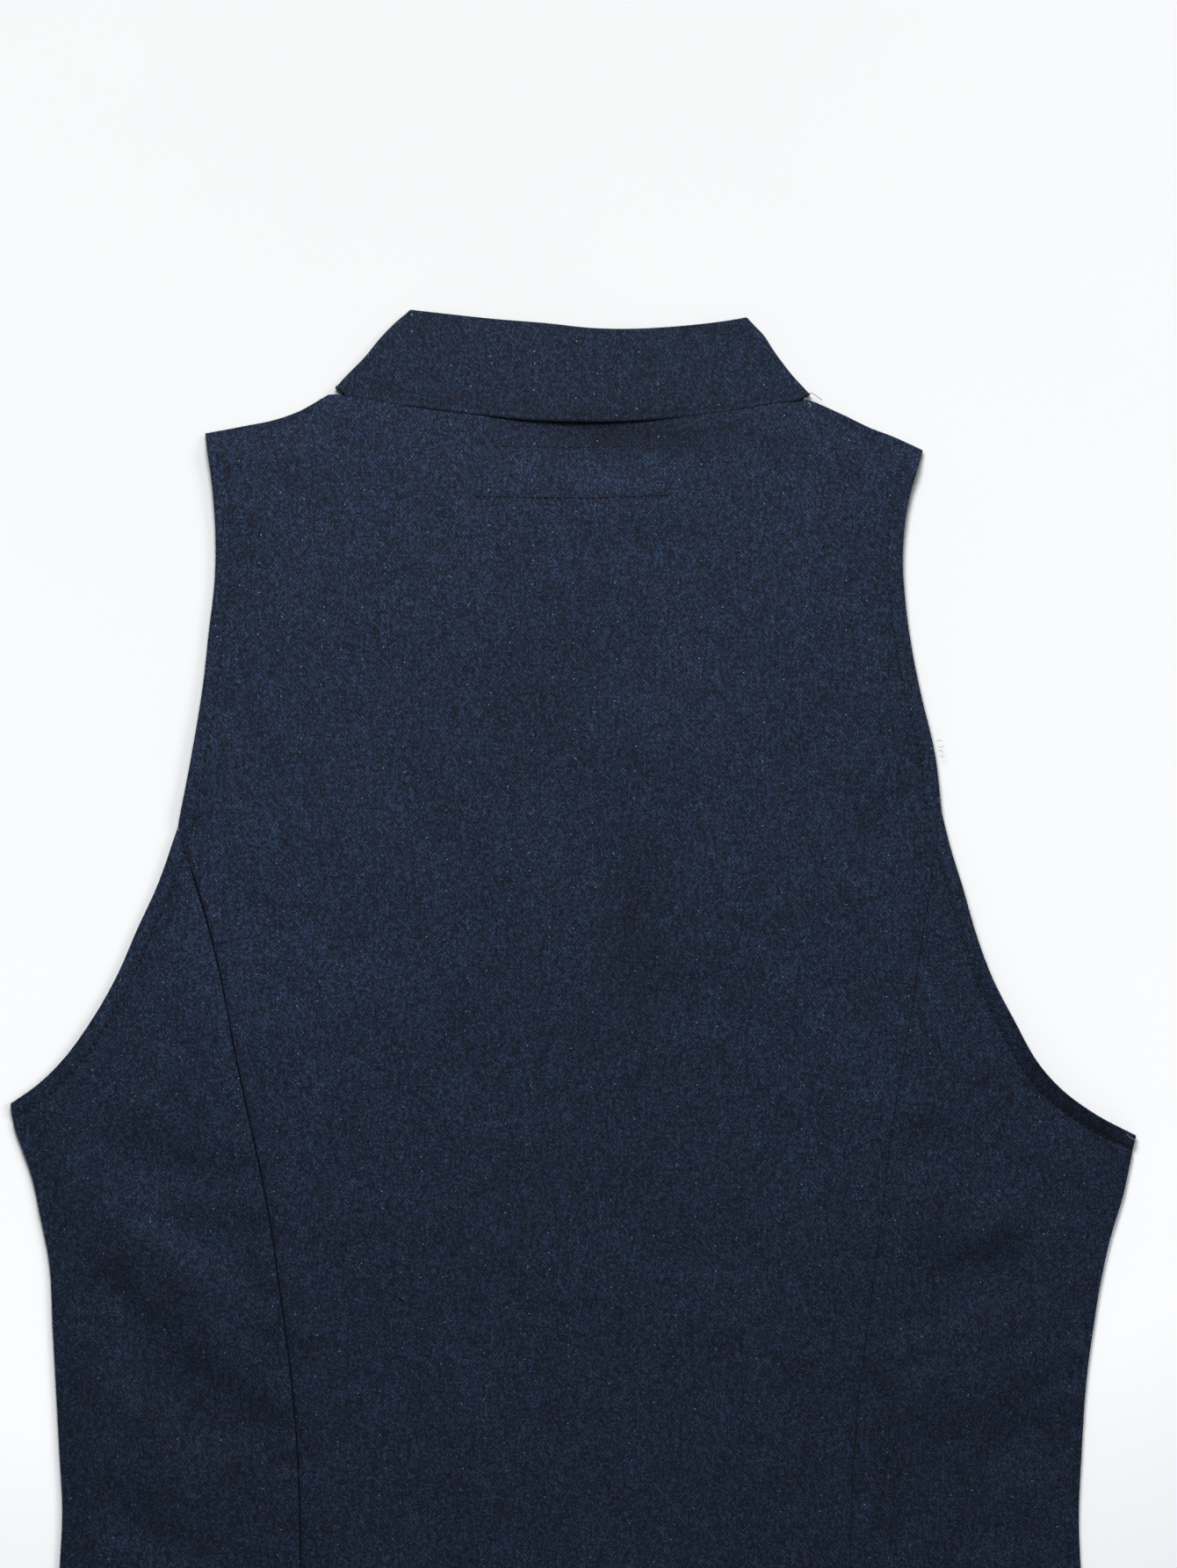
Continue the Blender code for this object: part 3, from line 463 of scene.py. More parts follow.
def panel_plan(sides, columns, rows):
    """The plan points of a panel, first cut into columns and then into rows."""
    in_columns = cut_lines(patch(*sides), columns)
    return cut_lines(in_columns.transpose(1, 0, 2), rows).transpose(1, 0, 2)


def distance(plan, line):
    """How far each plan point is from a line."""
    points = plan.reshape(-1, 2)
    knots = line[::2] if len(line) % 2 and len(line) > PLAN_STEPS else line  # every other point will do
    start, step = knots[:-1], np.diff(knots, axis=0)
    found = []
    for block in np.array_split(points, len(points) // 4000 + 1):
        away = block[:, None] - start
        share = np.clip((away * step).sum(-1) / np.maximum((step**2).sum(-1), 1e-9), 0.0, 1.0)
        found.append(np.linalg.norm(away - share[..., None] * step, axis=-1).min(axis=1))
    return np.concatenate(found).reshape(plan.shape[:-1])


def ease(share):
    """Rises smoothly from 0 to 1."""
    share = np.clip(share, 0.0, 1.0)
    return share * share * (3 - 2 * share)


def bump_at(gap, width):
    """A soft bump, 1 high, at no gap."""
    return np.exp(-((gap / width) ** 2))


def raised(plan, rows):
    """Height that rows of folds add. Each fades towards its ends and sides."""
    total = np.zeros(plan.shape[:-1])
    for x0, y0, x1, y1, half_width, height in rows:
        start, end = np.array((x0, y0)), np.array((x1, y1))
        step = end - start
        share = ((plan - start) @ step) / (step @ step)
        near = start + np.clip(share, 0.0, 1.0)[..., None] * step
        off = np.linalg.norm(plan - near, axis=-1)
        ends = 0.55 + 0.45 * np.cos(2 * math.pi * (np.clip(share, 0.0, 1.0) - 0.5))
        total += height * ends * bump_at(off, half_width)
    return total


def ripple(plan, seed, waves=70, shortest=14.0, longest=80.0, height=0.14):
    """The unevenness of cloth that has been used and pressed, from many faint waves."""
    draw = np.random.default_rng(seed)
    total = np.zeros(plan.shape[:-1])
    for _ in range(waves):
        length = shortest * (longest / shortest) ** draw.random()
        turn, phase = draw.random(2) * math.tau
        way = plan @ np.array((math.cos(turn), math.sin(turn)))
        total += height * (length / longest) * np.cos(math.tau * way / length + phase)
    return total * math.sqrt(8.0 / waves)


def neck_lift(plan):
    """How much the fold of the collar lifts the panels at the two neck points."""
    lift = np.zeros(plan.shape[:-1])
    for side in WAY_OUT:
        gap = np.linalg.norm(plan - np.array(OUTLINE[side + "_shoulder"][-1]), axis=-1)
        lift += NECK_LIFT * bump_at(gap, NECK_LIFT_RADIUS)
    return lift


def turned_edge(away, band):
    """The extra wall of a turned edge at a distance from it."""
    return TURNED_HEM * (1.0 - ease((away - band + BAND_SLOPE) / BAND_SLOPE))


def placket_height(x, edge_side, full):
    """Height of the underside of a front: full over the buttons, and on the table beside the placket."""
    return full * ease((OVERLAP + PLACKET_FLAT + PLACKET_SLOPE - x * edge_side) / PLACKET_SLOPE)


def shifted(line, dx, dy):
    """A plan line moved by a small step."""
    return line + np.array((dx, dy))


LINES = {name: curve_through(table) for name, table in OUTLINE.items()}


def nearest(plan, *names):
    """How far each plan point is from the nearest of some lines of the cut."""
    return np.minimum.reduce([distance(plan, LINES[name]) for name in names])


def hem_between(x_from, x_to):
    """The stretch of the hem line between two places across."""
    x = np.linspace(x_from, x_to, 2 * PLAN_STEPS + 1)
    return np.stack([x, np.interp(x, LINES["hem"][:, 0], LINES["hem"][:, 1])], axis=1)


def back_crown(plan, neck, hem):
    """Height of the underside of the back away from its edges: the rise of the middle, the folds and the hem."""
    x, y = plan[..., 0], plan[..., 1]
    above_pit = ease((y - NECK_PIT_Y - COLLAR_HEIGHT) / NECK_SETTLE)
    rise = MIDDLE_RISE + above_pit * (NECK_RISE - MIDDLE_RISE)
    crown = SIDE_HEIGHT + FOLD_ROOM * ease((neck - ROOM_START) / ROOM_SLOPE)
    crown = crown + rise * bump_at(x, MIDDLE_HALF_WIDTH) + FOLD_GAIN * raised(plan, FOLDS)
    placket = PLACKET_RISE * (1.0 - ease((abs(x) - OVERLAP - PLACKET_FLAT) / BACK_SLOPE))
    return crown + (1.0 - ease(hem / HEM_ROLL)) * (SEAM_EDGE + HEM_REST + placket - crown)


def label_pad(plan):
    """What the label held on the inside adds above its lower row of stitches."""
    x, y = plan[..., 0], plan[..., 1]
    row_y = np.interp(x, np.array(LABEL_ROW)[:, 0], np.array(LABEL_ROW)[:, 1])
    over_label = ease((y - row_y + LABEL_LOW_SLOPE / 2) / LABEL_LOW_SLOPE)
    over_label *= 1.0 - ease((y - LABEL_TOP) / LABEL_TOP_SLOPE)
    return LABEL_THICK * over_label * ease((LABEL_HALF_WIDTH - abs(x)) / LABEL_SIDE_SLOPE)


def back_faces(plan, centre):
    """Heights of the underside and of the face of the back. centre is true where a point is on its centre."""
    x, y = plan[..., 0], plan[..., 1]
    neck, hem = distance(plan, LINES["neck"]), distance(plan, LINES["hem"])
    left_low, right_low = distance(plan, LINES["left_low"]), distance(plan, LINES["right_low"])
    left_seam, seam = distance(plan, LINES["left_princess"]), nearest(plan, "left_princess", "right_princess")
    sewn = nearest(plan, "left_side", "right_side", "left_shoulder", "right_shoulder")
    armhole = nearest(plan, "left_low", "right_low", "left_high", "right_high")
    inside = ease(sewn / EDGE_ROLL)
    height = SEAM_EDGE + inside * (back_crown(plan, neck, hem) - SEAM_EDGE)
    height += inside * (1.0 - ease(armhole / EDGE_ROLL)) * (ARMHOLE_EDGE - height)
    height -= ARMHOLE_SAG * np.clip(1.0 - left_low / ARMHOLE_STITCH, 0.0, 1.0)
    height = np.maximum(height, SEAM_EDGE) + neck_lift(plan)
    fine = CREASE_GAIN * (raised(plan, SIDE_CREASES) + raised(plan, CENTRE_CREASES))
    fine += ripple(plan, 5, shortest=24.0, longest=100.0, height=0.34)
    to_hem = HEM_CREASE_SHARE + (1.0 - HEM_CREASE_SHARE) * ease(hem / HEM_CREASE_FADE)
    height += ease(sewn / CREASE_FADE) * to_hem * fine
    height += PUCKER_GAIN * ease(sewn / PUCKER_FADE) * raised(plan, PUCKERS)
    height += np.where(centre, SEAM_STEP * (1.0 - ease((seam - SEAM_ALLOWANCE) / ALLOWANCE_SLOPE)), 0.0)
    for gap, (depth, half_width) in zip((seam, left_seam), SEAM_DIPS):
        height -= depth * bump_at(gap, half_width)
    height -= NECK_DIP * bump_at(neck, NECK_DIP_WIDTH)
    for at_x, at_y, radius, curl in UNDERARM_CURLS:
        near = bump_at(np.hypot(x - at_x, y - at_y), radius)
        height += curl * near * np.clip(1.0 - armhole / CURL_BAND, 0.0, 1.0) ** 1.6 * ease(sewn / CURL_FADE)
    height += label_pad(plan)
    under = np.maximum(height, SEAM_EDGE - 0.05)
    thick = CLOTH + np.maximum(turned_edge(armhole, ARMHOLE_BAND), turned_edge(hem, HEM_BAND))
    wander = y + PULL_LEAN * x
    pull = PULL_HEIGHT * np.sin(math.tau * wander / PULL_LENGTH + PULL_SWAY * np.sin(wander / PULL_SWAY_LENGTH))
    pull *= bump_at(armhole - ARMHOLE_STITCH, PULL_WIDTHS[0]) + bump_at(hem - HEM_STITCH, PULL_WIDTHS[1])
    stitched = (armhole - ARMHOLE_STITCH, np.minimum(left_low, right_low) - ARMHOLE_STITCH, hem - HEM_STITCH)
    groove = sum(depth * bump_at(gap, half_width) for gap, (depth, half_width) in zip(stitched, STITCH_DIPS))
    return under, under + thick + pull - groove


def on_centre(plan):
    """Whether plan points lie between the princess seams."""
    y = plan[..., 1]
    left, right = (np.interp(y, LINES[n][:, 1], LINES[n][:, 0]) for n in ("left_princess", "right_princess"))
    return (plan[..., 0] > left) & (plan[..., 0] < right)


def front_neck(side):
    """The lower and the upper edge of the collar's hidden front, from the neck point to the middle line."""
    out = WAY_OUT[side]
    (low_x, low_y), (high_x, high_y) = (OUTLINE[name][0 if side == "left" else -1] for name in ("neck", "collar_top"))
    end = out * SEAM / 2
    pit, top = NECK_PIT_Y, NECK_PIT_Y + COLLAR_HEIGHT
    low = bezier((low_x, low_y), (low_x - out * 15.0, low_y - 42.0), (out * 45.0, pit), (end, pit))
    high = bezier((high_x, high_y), (high_x - out * 12.0, high_y - 43.0), (out * 30.0, top), (end, top))
    return low, high


def front_faces(plan, side):
    """Heights of the underside and of the upper side of a front. Its creases only rise, off the table."""
    out = WAY_OUT[side]
    full = BUTTON_THICK + SEAM
    rows = RIGHT_FRONT_CREASES
    if side == "left":
        full += CLOTH + SEAM
        rows = LEFT_FRONT_CREASES
    x = plan[..., 0] * out
    armhole = distance(plan, LINES[side + "_front_armhole"])
    sewn = nearest(plan, side + "_side", side + "_shoulder")
    hem = distance(plan, LINES["hem"])
    room = back_faces(plan, on_centre(plan))[0] - CLOTH - FRONT_CLEAR
    free = ease((x - FRONT_CREASE_START) / FRONT_CREASE_SLOPE) * ease(sewn / FRONT_SEAM_FADE)
    free = free * ease(hem / FRONT_HEM_FADE) * ease(armhole / FRONT_ARMHOLE_FADE)
    creases = free * np.maximum(raised(plan, rows) + FRONT_RIPPLE * ripple(plan, 9) - 0.05, 0.0)
    under = placket_height(plan[..., 0], out, full) + neck_lift(plan)
    creases = np.minimum(creases, np.maximum(room - under, 0.0))
    groove = FRONT_DIP * (bump_at(hem - HEM_STITCH, FRONT_DIP_WIDTH)
                          + bump_at(armhole - ARMHOLE_STITCH, FRONT_DIP_WIDTH)
                          + bump_at(x + OVERLAP - PLACKET_STITCH, FRONT_DIP_WIDTH) * (x < 0.0))
    return under + creases + groove, under + creases + CLOTH


def rim_of(grid):
    """The points round a grid, in order."""
    return np.concatenate([grid[0], grid[1:, -1], grid[-1, -2::-1], grid[-2:0:-1, 0]])


def own_area(plan):
    """The plan area inside a panel's rim."""
    x, y = rim_of(plan).T
    return abs(np.dot(x, np.roll(y, 1)) - np.dot(y, np.roll(x, 1))) / 2


def rounded(plan, under, over):
    """Rounds the two faces of a panel towards each other along its rim."""
    rim = rim_of(plan)
    away = distance(plan, np.concatenate([rim, rim[:1]]))
    middle, half = (under + over) / 2, (over - under) / 2
    full = np.sqrt(1.0 - (1.0 - np.clip(away / np.maximum(half, 0.1), 0.0, 1.0)) ** 2)
    return middle - half * full, middle + half * full


def skin(name, upper, lower, grain, finishes):
    """A closed cloth piece from two grids of points that share their rim. finishes are the upper and lower."""
    rows, columns = upper.shape[:2]
    count = rows * columns
    top = np.arange(count).reshape(rows, columns)
    below = np.array(top)
    below[1:-1, 1:-1] = count + np.arange((rows - 2) * (columns - 2)).reshape(rows - 2, columns - 2)
    points = np.concatenate([upper.reshape(-1, 3), lower[1:-1, 1:-1].reshape(-1, 3)])
    corners = [(slice(0, -1), slice(0, -1)), (slice(0, -1), slice(1, None)),
               (slice(1, None), slice(1, None)), (slice(1, None), slice(0, -1))]
    up = np.stack([top[c] for c in corners], axis=-1).reshape(-1, 4)
    down = np.stack([below[c] for c in corners[::-1]], axis=-1).reshape(-1, 4)
    mid = (rows // 2, columns // 2)
    across = upper[mid[0], mid[1] + 1] - upper[mid]
    along = upper[mid[0] + 1, mid[1]] - upper[mid]
    outward = upper[mid] - lower[mid]
    if np.dot(np.cross(across, along), outward) < 0.0:
        up, down = up[:, ::-1], down[:, ::-1]
    faces = np.concatenate([up, down])
    piece = made_up(name, points, faces.tolist(), finishes, [0] * len(up) + [1] * len(down))
    both = np.concatenate([grain.reshape(-1, 2), grain[1:-1, 1:-1].reshape(-1, 2)]) * MM
    piece.data.uv_layers.new(name="grain").data.foreach_set("uv", both[faces.ravel()].ravel())
    return piece


def made_up(name, points, faces, finishes, numbers=None):
    """A smooth mesh put into the scene as an object. numbers say which finish each face has."""
    data = bpy.data.meshes.new(name)
    data.from_pydata((points * MM).tolist(), [], faces)
    for finish in finishes:
        data.materials.append(finish)
    if numbers:
        data.polygons.foreach_set("material_index", numbers)
    data.shade_smooth()
    data.update()
    return placed(name, data)


def in_scene(name, data, **settings):
    """Puts a mesh, a light or a camera into the scene as an object."""
    made = bpy.data.objects.new(name, data)
    for key, value in settings.items():
        setattr(made, key, value)
    bpy.context.scene.collection.objects.link(made)
    return made


def placed(name, data):
    """Puts a mesh into the scene as an object that rides on the garment."""
    made = in_scene(name, data)
    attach(made, "root")
    return made


def in_space(plan, height):
    """Plan points with their heights."""
    return np.concatenate([plan, height[..., None]], axis=-1)


def cloth_finishes():
    """The face and the reverse of the cloth."""
    return denim_finish("denim_face"), denim_finish("denim_reverse")


def on_bolt(plan, node):
    """Grain coordinates of a panel: its plan, turned as it was cut and set apart from its neighbours."""
    degrees, dx, dy = ON_BOLT[node]
    a = math.radians(degrees)
    return plan @ np.array(((math.cos(a), math.sin(a)), (-math.sin(a), math.cos(a)))) + np.array((dx, dy))


def panel(node, plan, faces, finishes):
    """A panel of cloth on its plan points, between the heights of its two faces, and the plan."""
    under, over = rounded(plan, *faces)
    return skin(node + "_cloth", in_space(plan, over), in_space(plan, under), on_bolt(plan, node), finishes), plan


def opened(line, gap):
    """A seam line with its cut edge moved sideways, by less near the armhole, where no front lies below."""
    moved = line.copy()
    moved[:, 0] += gap * (0.3 + 0.7 * ease((line[-1, 1] - 12.0 - line[:, 1]) / 10.0))
    return moved


def make_back_centre():
    """The centre back, between the princess seams."""
    left_seam, right_seam = opened(LINES["left_princess"], SEAM_OPEN), LINES["right_princess"].copy()
    left_arm, right_arm = LINES["left_high"].copy(), LINES["right_high"].copy()
    left_arm[0], right_arm[0] = left_seam[-1], right_seam[-1]
    neck = shifted(LINES["neck"], 0, -0.1)
    neck[0], neck[-1] = LINES["left_shoulder"][-1], LINES["right_shoulder"][-1]
    bottom = hem_between(left_seam[0, 0], right_seam[0, 0])
    left_seam[0], right_seam[0] = bottom[0], bottom[-1]
    seam_share, shoulder_share = 0.73, 0.18
    sides = (
        edge((bottom, 1.0)),
        edge((LINES["left_shoulder"], shoulder_share), (neck, 1 - 2 * shoulder_share),
             (LINES["right_shoulder"][::-1], shoulder_share)),
        edge((left_seam, seam_share), (left_arm, 1 - seam_share)),
        edge((right_seam, seam_share), (right_arm, 1 - seam_share)),
    )
    columns = (
        (shoulder_share, BAND_NEAR, 13, ()),
        (1 - 2 * shoulder_share, (), 52, ()),
        (shoulder_share, (), 13, BAND_NEAR[::-1]),
    )
    rows = ((seam_share, HEM_NEAR, 170, ()), (1 - seam_share, (), 96, SEAM_NEAR[::-1]))
    plan = panel_plan(sides, columns, rows)
    return panel("back_centre", plan, back_faces(plan, np.ones(plan.shape[:-1], bool)), cloth_finishes())


def make_back_side(side):
    """A side of the back, from the side seam to the princess seam."""
    seam = shifted(LINES["right_princess"], 0.1, 0) if side == "right" else opened(LINES["left_princess"], -SEAM_OPEN)
    outer, arm = LINES[side + "_side"].copy(), LINES[side + "_low"].copy()
    bottom = hem_between(outer[0, 0], seam[0, 0])
    seam[0], outer[0] = bottom[-1], bottom[0]
    arm[-1] = seam[-1]
    sides = (edge((bottom, 1.0)), edge((arm, 1.0)), edge((outer, 1.0)), edge((seam, 1.0)))
    columns = ((1.0, SEAM_NEAR, 34, SEAM_NEAR[::-1]),)
    rows = ((1.0, HEM_NEAR, 180, SLANTED_BAND_NEAR[::-1]),)
    plan = panel_plan(sides, columns, rows)
    return panel("back_side_" + side, plan, back_faces(plan, np.zeros(plan.shape[:-1], bool)), cloth_finishes())


def front_plan(side):
    """The plan points of a front, from the side seam to its edge past the middle line."""
    out = WAY_OUT[side]
    outer, arm = LINES[side + "_side"], LINES[side + "_front_armhole"]
    shoulder = LINES[side + "_shoulder"]
    middle_edge = -out * OVERLAP
    low, _ = front_neck(side)
    neck = shifted(low, out * SEAM, -SEAM)
    neck[0] = shoulder[-1]
    pit_y = NECK_PIT_Y - SEAM
    neck[-1] = (out * SEAM, pit_y)
    past_middle = np.array([(out * SEAM, pit_y), (middle_edge, pit_y)])
    side_share, shoulder_share, neck_share = 0.59, 0.22, 0.66
    past_share = 1 - shoulder_share - neck_share
    under_shoulder = outer[0, 0] - out * 52.0
    bottom = (
        (hem_between(outer[0, 0], under_shoulder), shoulder_share),
        (hem_between(under_shoulder, out * SEAM), neck_share),
        (hem_between(out * SEAM, middle_edge), past_share),
    )
    front_edge = np.array([bottom[-1][0][-1], (middle_edge, pit_y)])
    sides = (
        edge(*bottom),
        edge((shoulder, shoulder_share), (neck, neck_share), (past_middle, past_share)),
        edge((outer, side_share), (arm, 1 - side_share)),
        edge((front_edge, 1.0)),
    )
    columns = (
        (shoulder_share, SEAM_NEAR, 9, ()),
        (neck_share, (), 38, ()),
        (past_share, (), 8, FRONT_EDGE_NEAR[::-1]),
    )
    rows = ((side_share, FRONT_HEM_NEAR, 64, ()), (1 - side_share, (), 54, FRONT_TOP_NEAR[::-1]))
    return panel_plan(sides, columns, rows)


def make_front(side):
    """A front, its face down."""
    plan = front_plan(side)
    return panel("front_" + side, plan, front_faces(plan, side), cloth_finishes()[::-1])


def collar_line(share):
    """One line round the collar at a share of its height: its points, and which way its outside faces."""
    radius = (COLLAR_WALL + COLLAR_HOLLOW) / 2
    low_height, high_height = COLLAR_WALL / 2, COLLAR_WALL / 2 + 2 * radius
    reach = radius + COLLAR_WALL / 2
    back = (1 - share) * edge((LINES["neck"], 1.0)) + share * edge((LINES["collar_top"], 1.0))
    halves = []
    for side in ("left", "right"):
        out = WAY_OUT[side]
        low, high = front_neck(side)
        front = (1 - share) * edge((low, 1.0)) + share * edge((high, 1.0))
        fold = LINES[side + "_fold"]
        whole = fold[-1] - fold[0]
        away = np.array((whole[1], -whole[0])) * out / np.linalg.norm(whole)
        inward = back[LEAN_STEPS] - back[0] if side == "left" else back[-1 - LEAN_STEPS] - back[-1]
        lean = inward / -np.dot(inward, away)
        centre = at_lengths(fold, [share * travelled(fold)[-1]])[0] + lean * reach
        lengths = np.linspace(travelled(front)[-1], COLLAR_FRONT_CLEAR, COLLAR_FRONT_CUTS)
        plan = at_lengths(front, lengths)
        plan += (centre - front[0]) * (1.0 - lengths / lengths[0])[:, None]
        full = BUTTON_THICK + SEAM + (SEAM if side == "left" else 0.0)
        height = low_height + placket_height(plan[:, 0], out, full)
        flat = np.tile((0.0, 0.0, -1.0), (len(plan), 1))
        angle = np.linspace(0.0, math.pi, COLLAR_FOLD_CUTS)[:, None]
        facing = np.concatenate([away * np.sin(angle), -np.cos(angle)], axis=1)
        round_fold = np.concatenate([-lean * np.sin(angle), -np.cos(angle)], axis=1)
        turn = np.array((*centre, low_height + radius)) + radius * round_fold
        halves.append((np.concatenate([in_space(plan, height), turn]), np.concatenate([flat, facing])))
    lengths = np.linspace(COLLAR_BACK_CLEAR, travelled(back)[-1] - COLLAR_BACK_CLEAR, COLLAR_BACK_CUTS)
    plan = at_lengths(back, lengths)
    rise = COLLAR_RISE * np.sin(math.pi * lengths / travelled(back)[-1]) ** 2
    over = in_space(plan, high_height + rise)
    flat = np.tile((0.0, 0.0, 1.0), (len(plan), 1))
    return (np.concatenate([halves[0][0], over, halves[1][0][::-1]]),
            np.concatenate([halves[0][1], flat, halves[1][1][::-1]]))


def collar_grid(heights):
    """Middle points and outward directions of the collar, at heights above its lower edge."""
    lines = [collar_line(h / COLLAR_HEIGHT) for h in heights]
    return np.array([p for p, _ in lines]), np.array([f for _, f in lines])


def collar_relief(points, along, height):
    """What stands out or dips on the outside of the collar: its stitched edge, soft dents and faint waves."""
    grain = np.stack([along, height * np.ones_like(along)], axis=-1)
    relief = 0.5 * ripple(grain, 21, shortest=9.0, longest=45.0)
    relief -= 0.3 * bump_at(height - COLLAR_STITCH, 0.6)
    relief += 0.16 * bump_at(height - 0.7, 0.8)
    relief -= 0.12 * bump_at(COLLAR_HEIGHT - height - 2.0, 1.6)
    relief += 0.05 * np.sin(math.tau * along / 4.3 + 2.0 * np.sin(along / 9.0)) * bump_at(height - 1.4, 1.6)
    return relief


def make_collar():
    """The stand collar, one flattened ring with its stitched lower edge over the neck."""
    low = -COLLAR_OVERHANG
    top = COLLAR_HEIGHT
    heights = np.concatenate([low + np.array(COLLAR_EDGE_NEAR), np.linspace(6.0, top - 4.0, 18),
                              top - np.array(COLLAR_TOP_NEAR[::-1])])
    points, facing = collar_grid(heights)
    along = np.concatenate([np.zeros((len(heights), 1)),
                            np.cumsum(np.linalg.norm(np.diff(points, axis=1), axis=-1), axis=1)], axis=1)
    from_edge = np.minimum(heights - low, top - heights)[:, None]
    from_end = np.minimum(along, along[:, -1:] - along)
    away = np.minimum(from_edge, from_end)
    half = COLLAR_WALL / 2
    full = np.sqrt(1.0 - (1.0 - np.clip(away / half, 0.0, 1.0)) ** 2)
    relief = collar_relief(points, along, heights[:, None]) * full
    outer = points + facing * (half * full + relief)[..., None]
    inner = points - facing * (half * full)[..., None]
    outer[[0, -1]] = points[[0, -1]]
    outer[:, [0, -1]] = points[:, [0, -1]]
    outer[..., 2] = np.maximum(outer[..., 2], 0.0)
    grain = np.stack([along - along[:, along.shape[1] // 2][:, None], heights[:, None] * np.ones_like(along)], axis=-1)
    face = denim_finish("collar_denim")
    piece = skin("collar_cloth", outer, inner, on_bolt(grain, "collar"), (face, face))
    return piece, float(along[len(heights) // 2, -1]), top - low


def stitch_rows(name, rows, thickness, finish, sides=6):
    """Many stitches as one mesh. Each row has their middles, directions, outward directions and lengths."""
    ends, width, sink = np.array(STITCH_PROFILE).T
    sink = sink * thickness / 2
    middles, along, up, lengths = (np.concatenate([row[k] for row in rows]) for k in range(4))
    across = np.cross(up, along)
    across /= np.linalg.norm(across, axis=1, keepdims=True)
    angle = np.arange(sides) * math.tau / sides
    ring = thickness / 2 * (across[:, None] * np.cos(angle)[:, None] + up[:, None] * np.sin(angle)[:, None])
    points = (middles[:, None, None] + along[:, None, None] * (ends[:, None] * lengths[:, None, None])[..., None]
              + ring[:, None] * width[:, None, None] + up[:, None, None] * sink[:, None, None])
    points[..., 2] = np.maximum(points[..., 2], 0.0)
    count = len(middles)
    first = (np.arange(count) * 4 * sides)[:, None]
    faces = []
    for k in range(3):
        for s in range(sides):
            n = (s + 1) % sides
            faces.append(first + np.array((k * sides + s, k * sides + n, (k + 1) * sides + n, (k + 1) * sides + s)))
    faces = np.concatenate(faces).tolist()
    faces += (first + np.arange(sides)[::-1]).tolist()
    faces += (first + 3 * sides + np.arange(sides)).tolist()
    made = made_up(name, points.reshape(-1, 3), faces, (finish,))
    return made


def stitches_on(points, up, pitch, share=0.72, lift=0.0, seed=1):
    """One row of stitches along points in space, a little uneven as sewn."""
    way = travelled(points)
    draw = np.random.default_rng(seed)
    place = np.arange(pitch / 2, way[-1], pitch)
    place = place + (draw.random(len(place)) - 0.5) * 0.16 * pitch
    spot = at_lengths(points, place)
    before, after = at_lengths(points, place - 0.4), at_lengths(points, place + 0.4)
    along = after - before
    along /= np.linalg.norm(along, axis=1, keepdims=True)
    out = np.stack([np.interp(place, way, up[:, i]) for i in range(3)], axis=1)
    out /= np.linalg.norm(out, axis=1, keepdims=True)
    lengths = pitch * share * (0.9 + 0.2 * draw.random(len(place)))
    return spot + out * lift, along, out, lengths


def on_surface(line, surface):
    """A plan line laid on a surface, with the surface's upward directions."""
    step = 0.3
    height = surface(line)
    rise_x = (surface(line + np.array((step, 0.0))) - height) / step
    rise_y = (surface(line + np.array((0.0, step))) - height) / step
    up = np.stack([-rise_x, -rise_y, np.ones_like(height)], axis=-1)
    return in_space(line, height), up / np.linalg.norm(up, axis=1, keepdims=True)


def beside(line, gap):
    """A line at a gap to the left of another, seen along it."""
    way = np.gradient(line, axis=0)
    way /= np.linalg.norm(way, axis=1, keepdims=True)
    return line + gap * np.stack([-way[:, 1], way[:, 0]], axis=1)


def even_steps(line, step=1.0):
    """A line in even steps."""
    length = travelled(line)[-1]
    return at_lengths(line, np.linspace(0.0, length, max(int(length / step), 2)))


def back_top(plan):
    """Height of the face of the back."""
    return back_faces(plan, on_centre(plan))[1]


def make_topstitching(pitch, thickness, finish):
    """The rows that hold the turned edges of the back, the fronts and the collar."""
    back_rows = []
    for k, (side, turn) in enumerate(WAY_OUT.items()):
        armhole = np.concatenate([LINES[side + "_low"], LINES[side + "_high"][1:]])
        line = beside(even_steps(armhole), turn * ARMHOLE_STITCH)[6:-2]
        back_rows.append(stitches_on(*on_surface(line, back_top), pitch, share=0.82, lift=0.1, seed=11 + k))
    hem = beside(even_steps(LINES["hem"]), HEM_STITCH)[2:-2]
    back_rows.append(stitches_on(*on_surface(hem, back_top), pitch, seed=13))
    back = stitch_rows("back_topstitching", back_rows, thickness * 1.4, finish)
    fronts = {}
    for k, (side, out) in enumerate(WAY_OUT.items()):
        def outside(plan, side=side):
            return front_faces(plan, side)[0]
        hem_line = beside(even_steps(hem_between(LINES[side + "_side"][0, 0], -out * OVERLAP)), -out * HEM_STITCH)
        armhole = beside(even_steps(LINES[side + "_front_armhole"]), out * ARMHOLE_STITCH)[6:-4]
        edge_x = -out * (OVERLAP - PLACKET_STITCH)
        front_edge = even_steps(np.array(((edge_x, PLACKET_STITCH_LOW), (edge_x, NECK_PIT_Y - 2.0))))
        rows = []
        for n, line in enumerate((hem_line[3:-2], armhole, front_edge)):
            points, up = on_surface(line, outside)
            rows.append(stitches_on(points, -up, pitch, lift=0.05, seed=20 + 5 * k + n))
        fronts[side] = stitch_rows(f"front_{side}_topstitching", rows, thickness, finish)
    points, facing = collar_grid([COLLAR_STITCH])
    way = travelled(points[0])
    raised_by = COLLAR_WALL / 2 + collar_relief(points[0], way, COLLAR_STITCH)
    row = stitches_on(points[0] + facing[0] * raised_by[:, None], facing[0], pitch * 0.9, seed=31)
    collar = stitch_rows("collar_edge_stitching", [row], thickness, finish)
    return back, fronts, collar


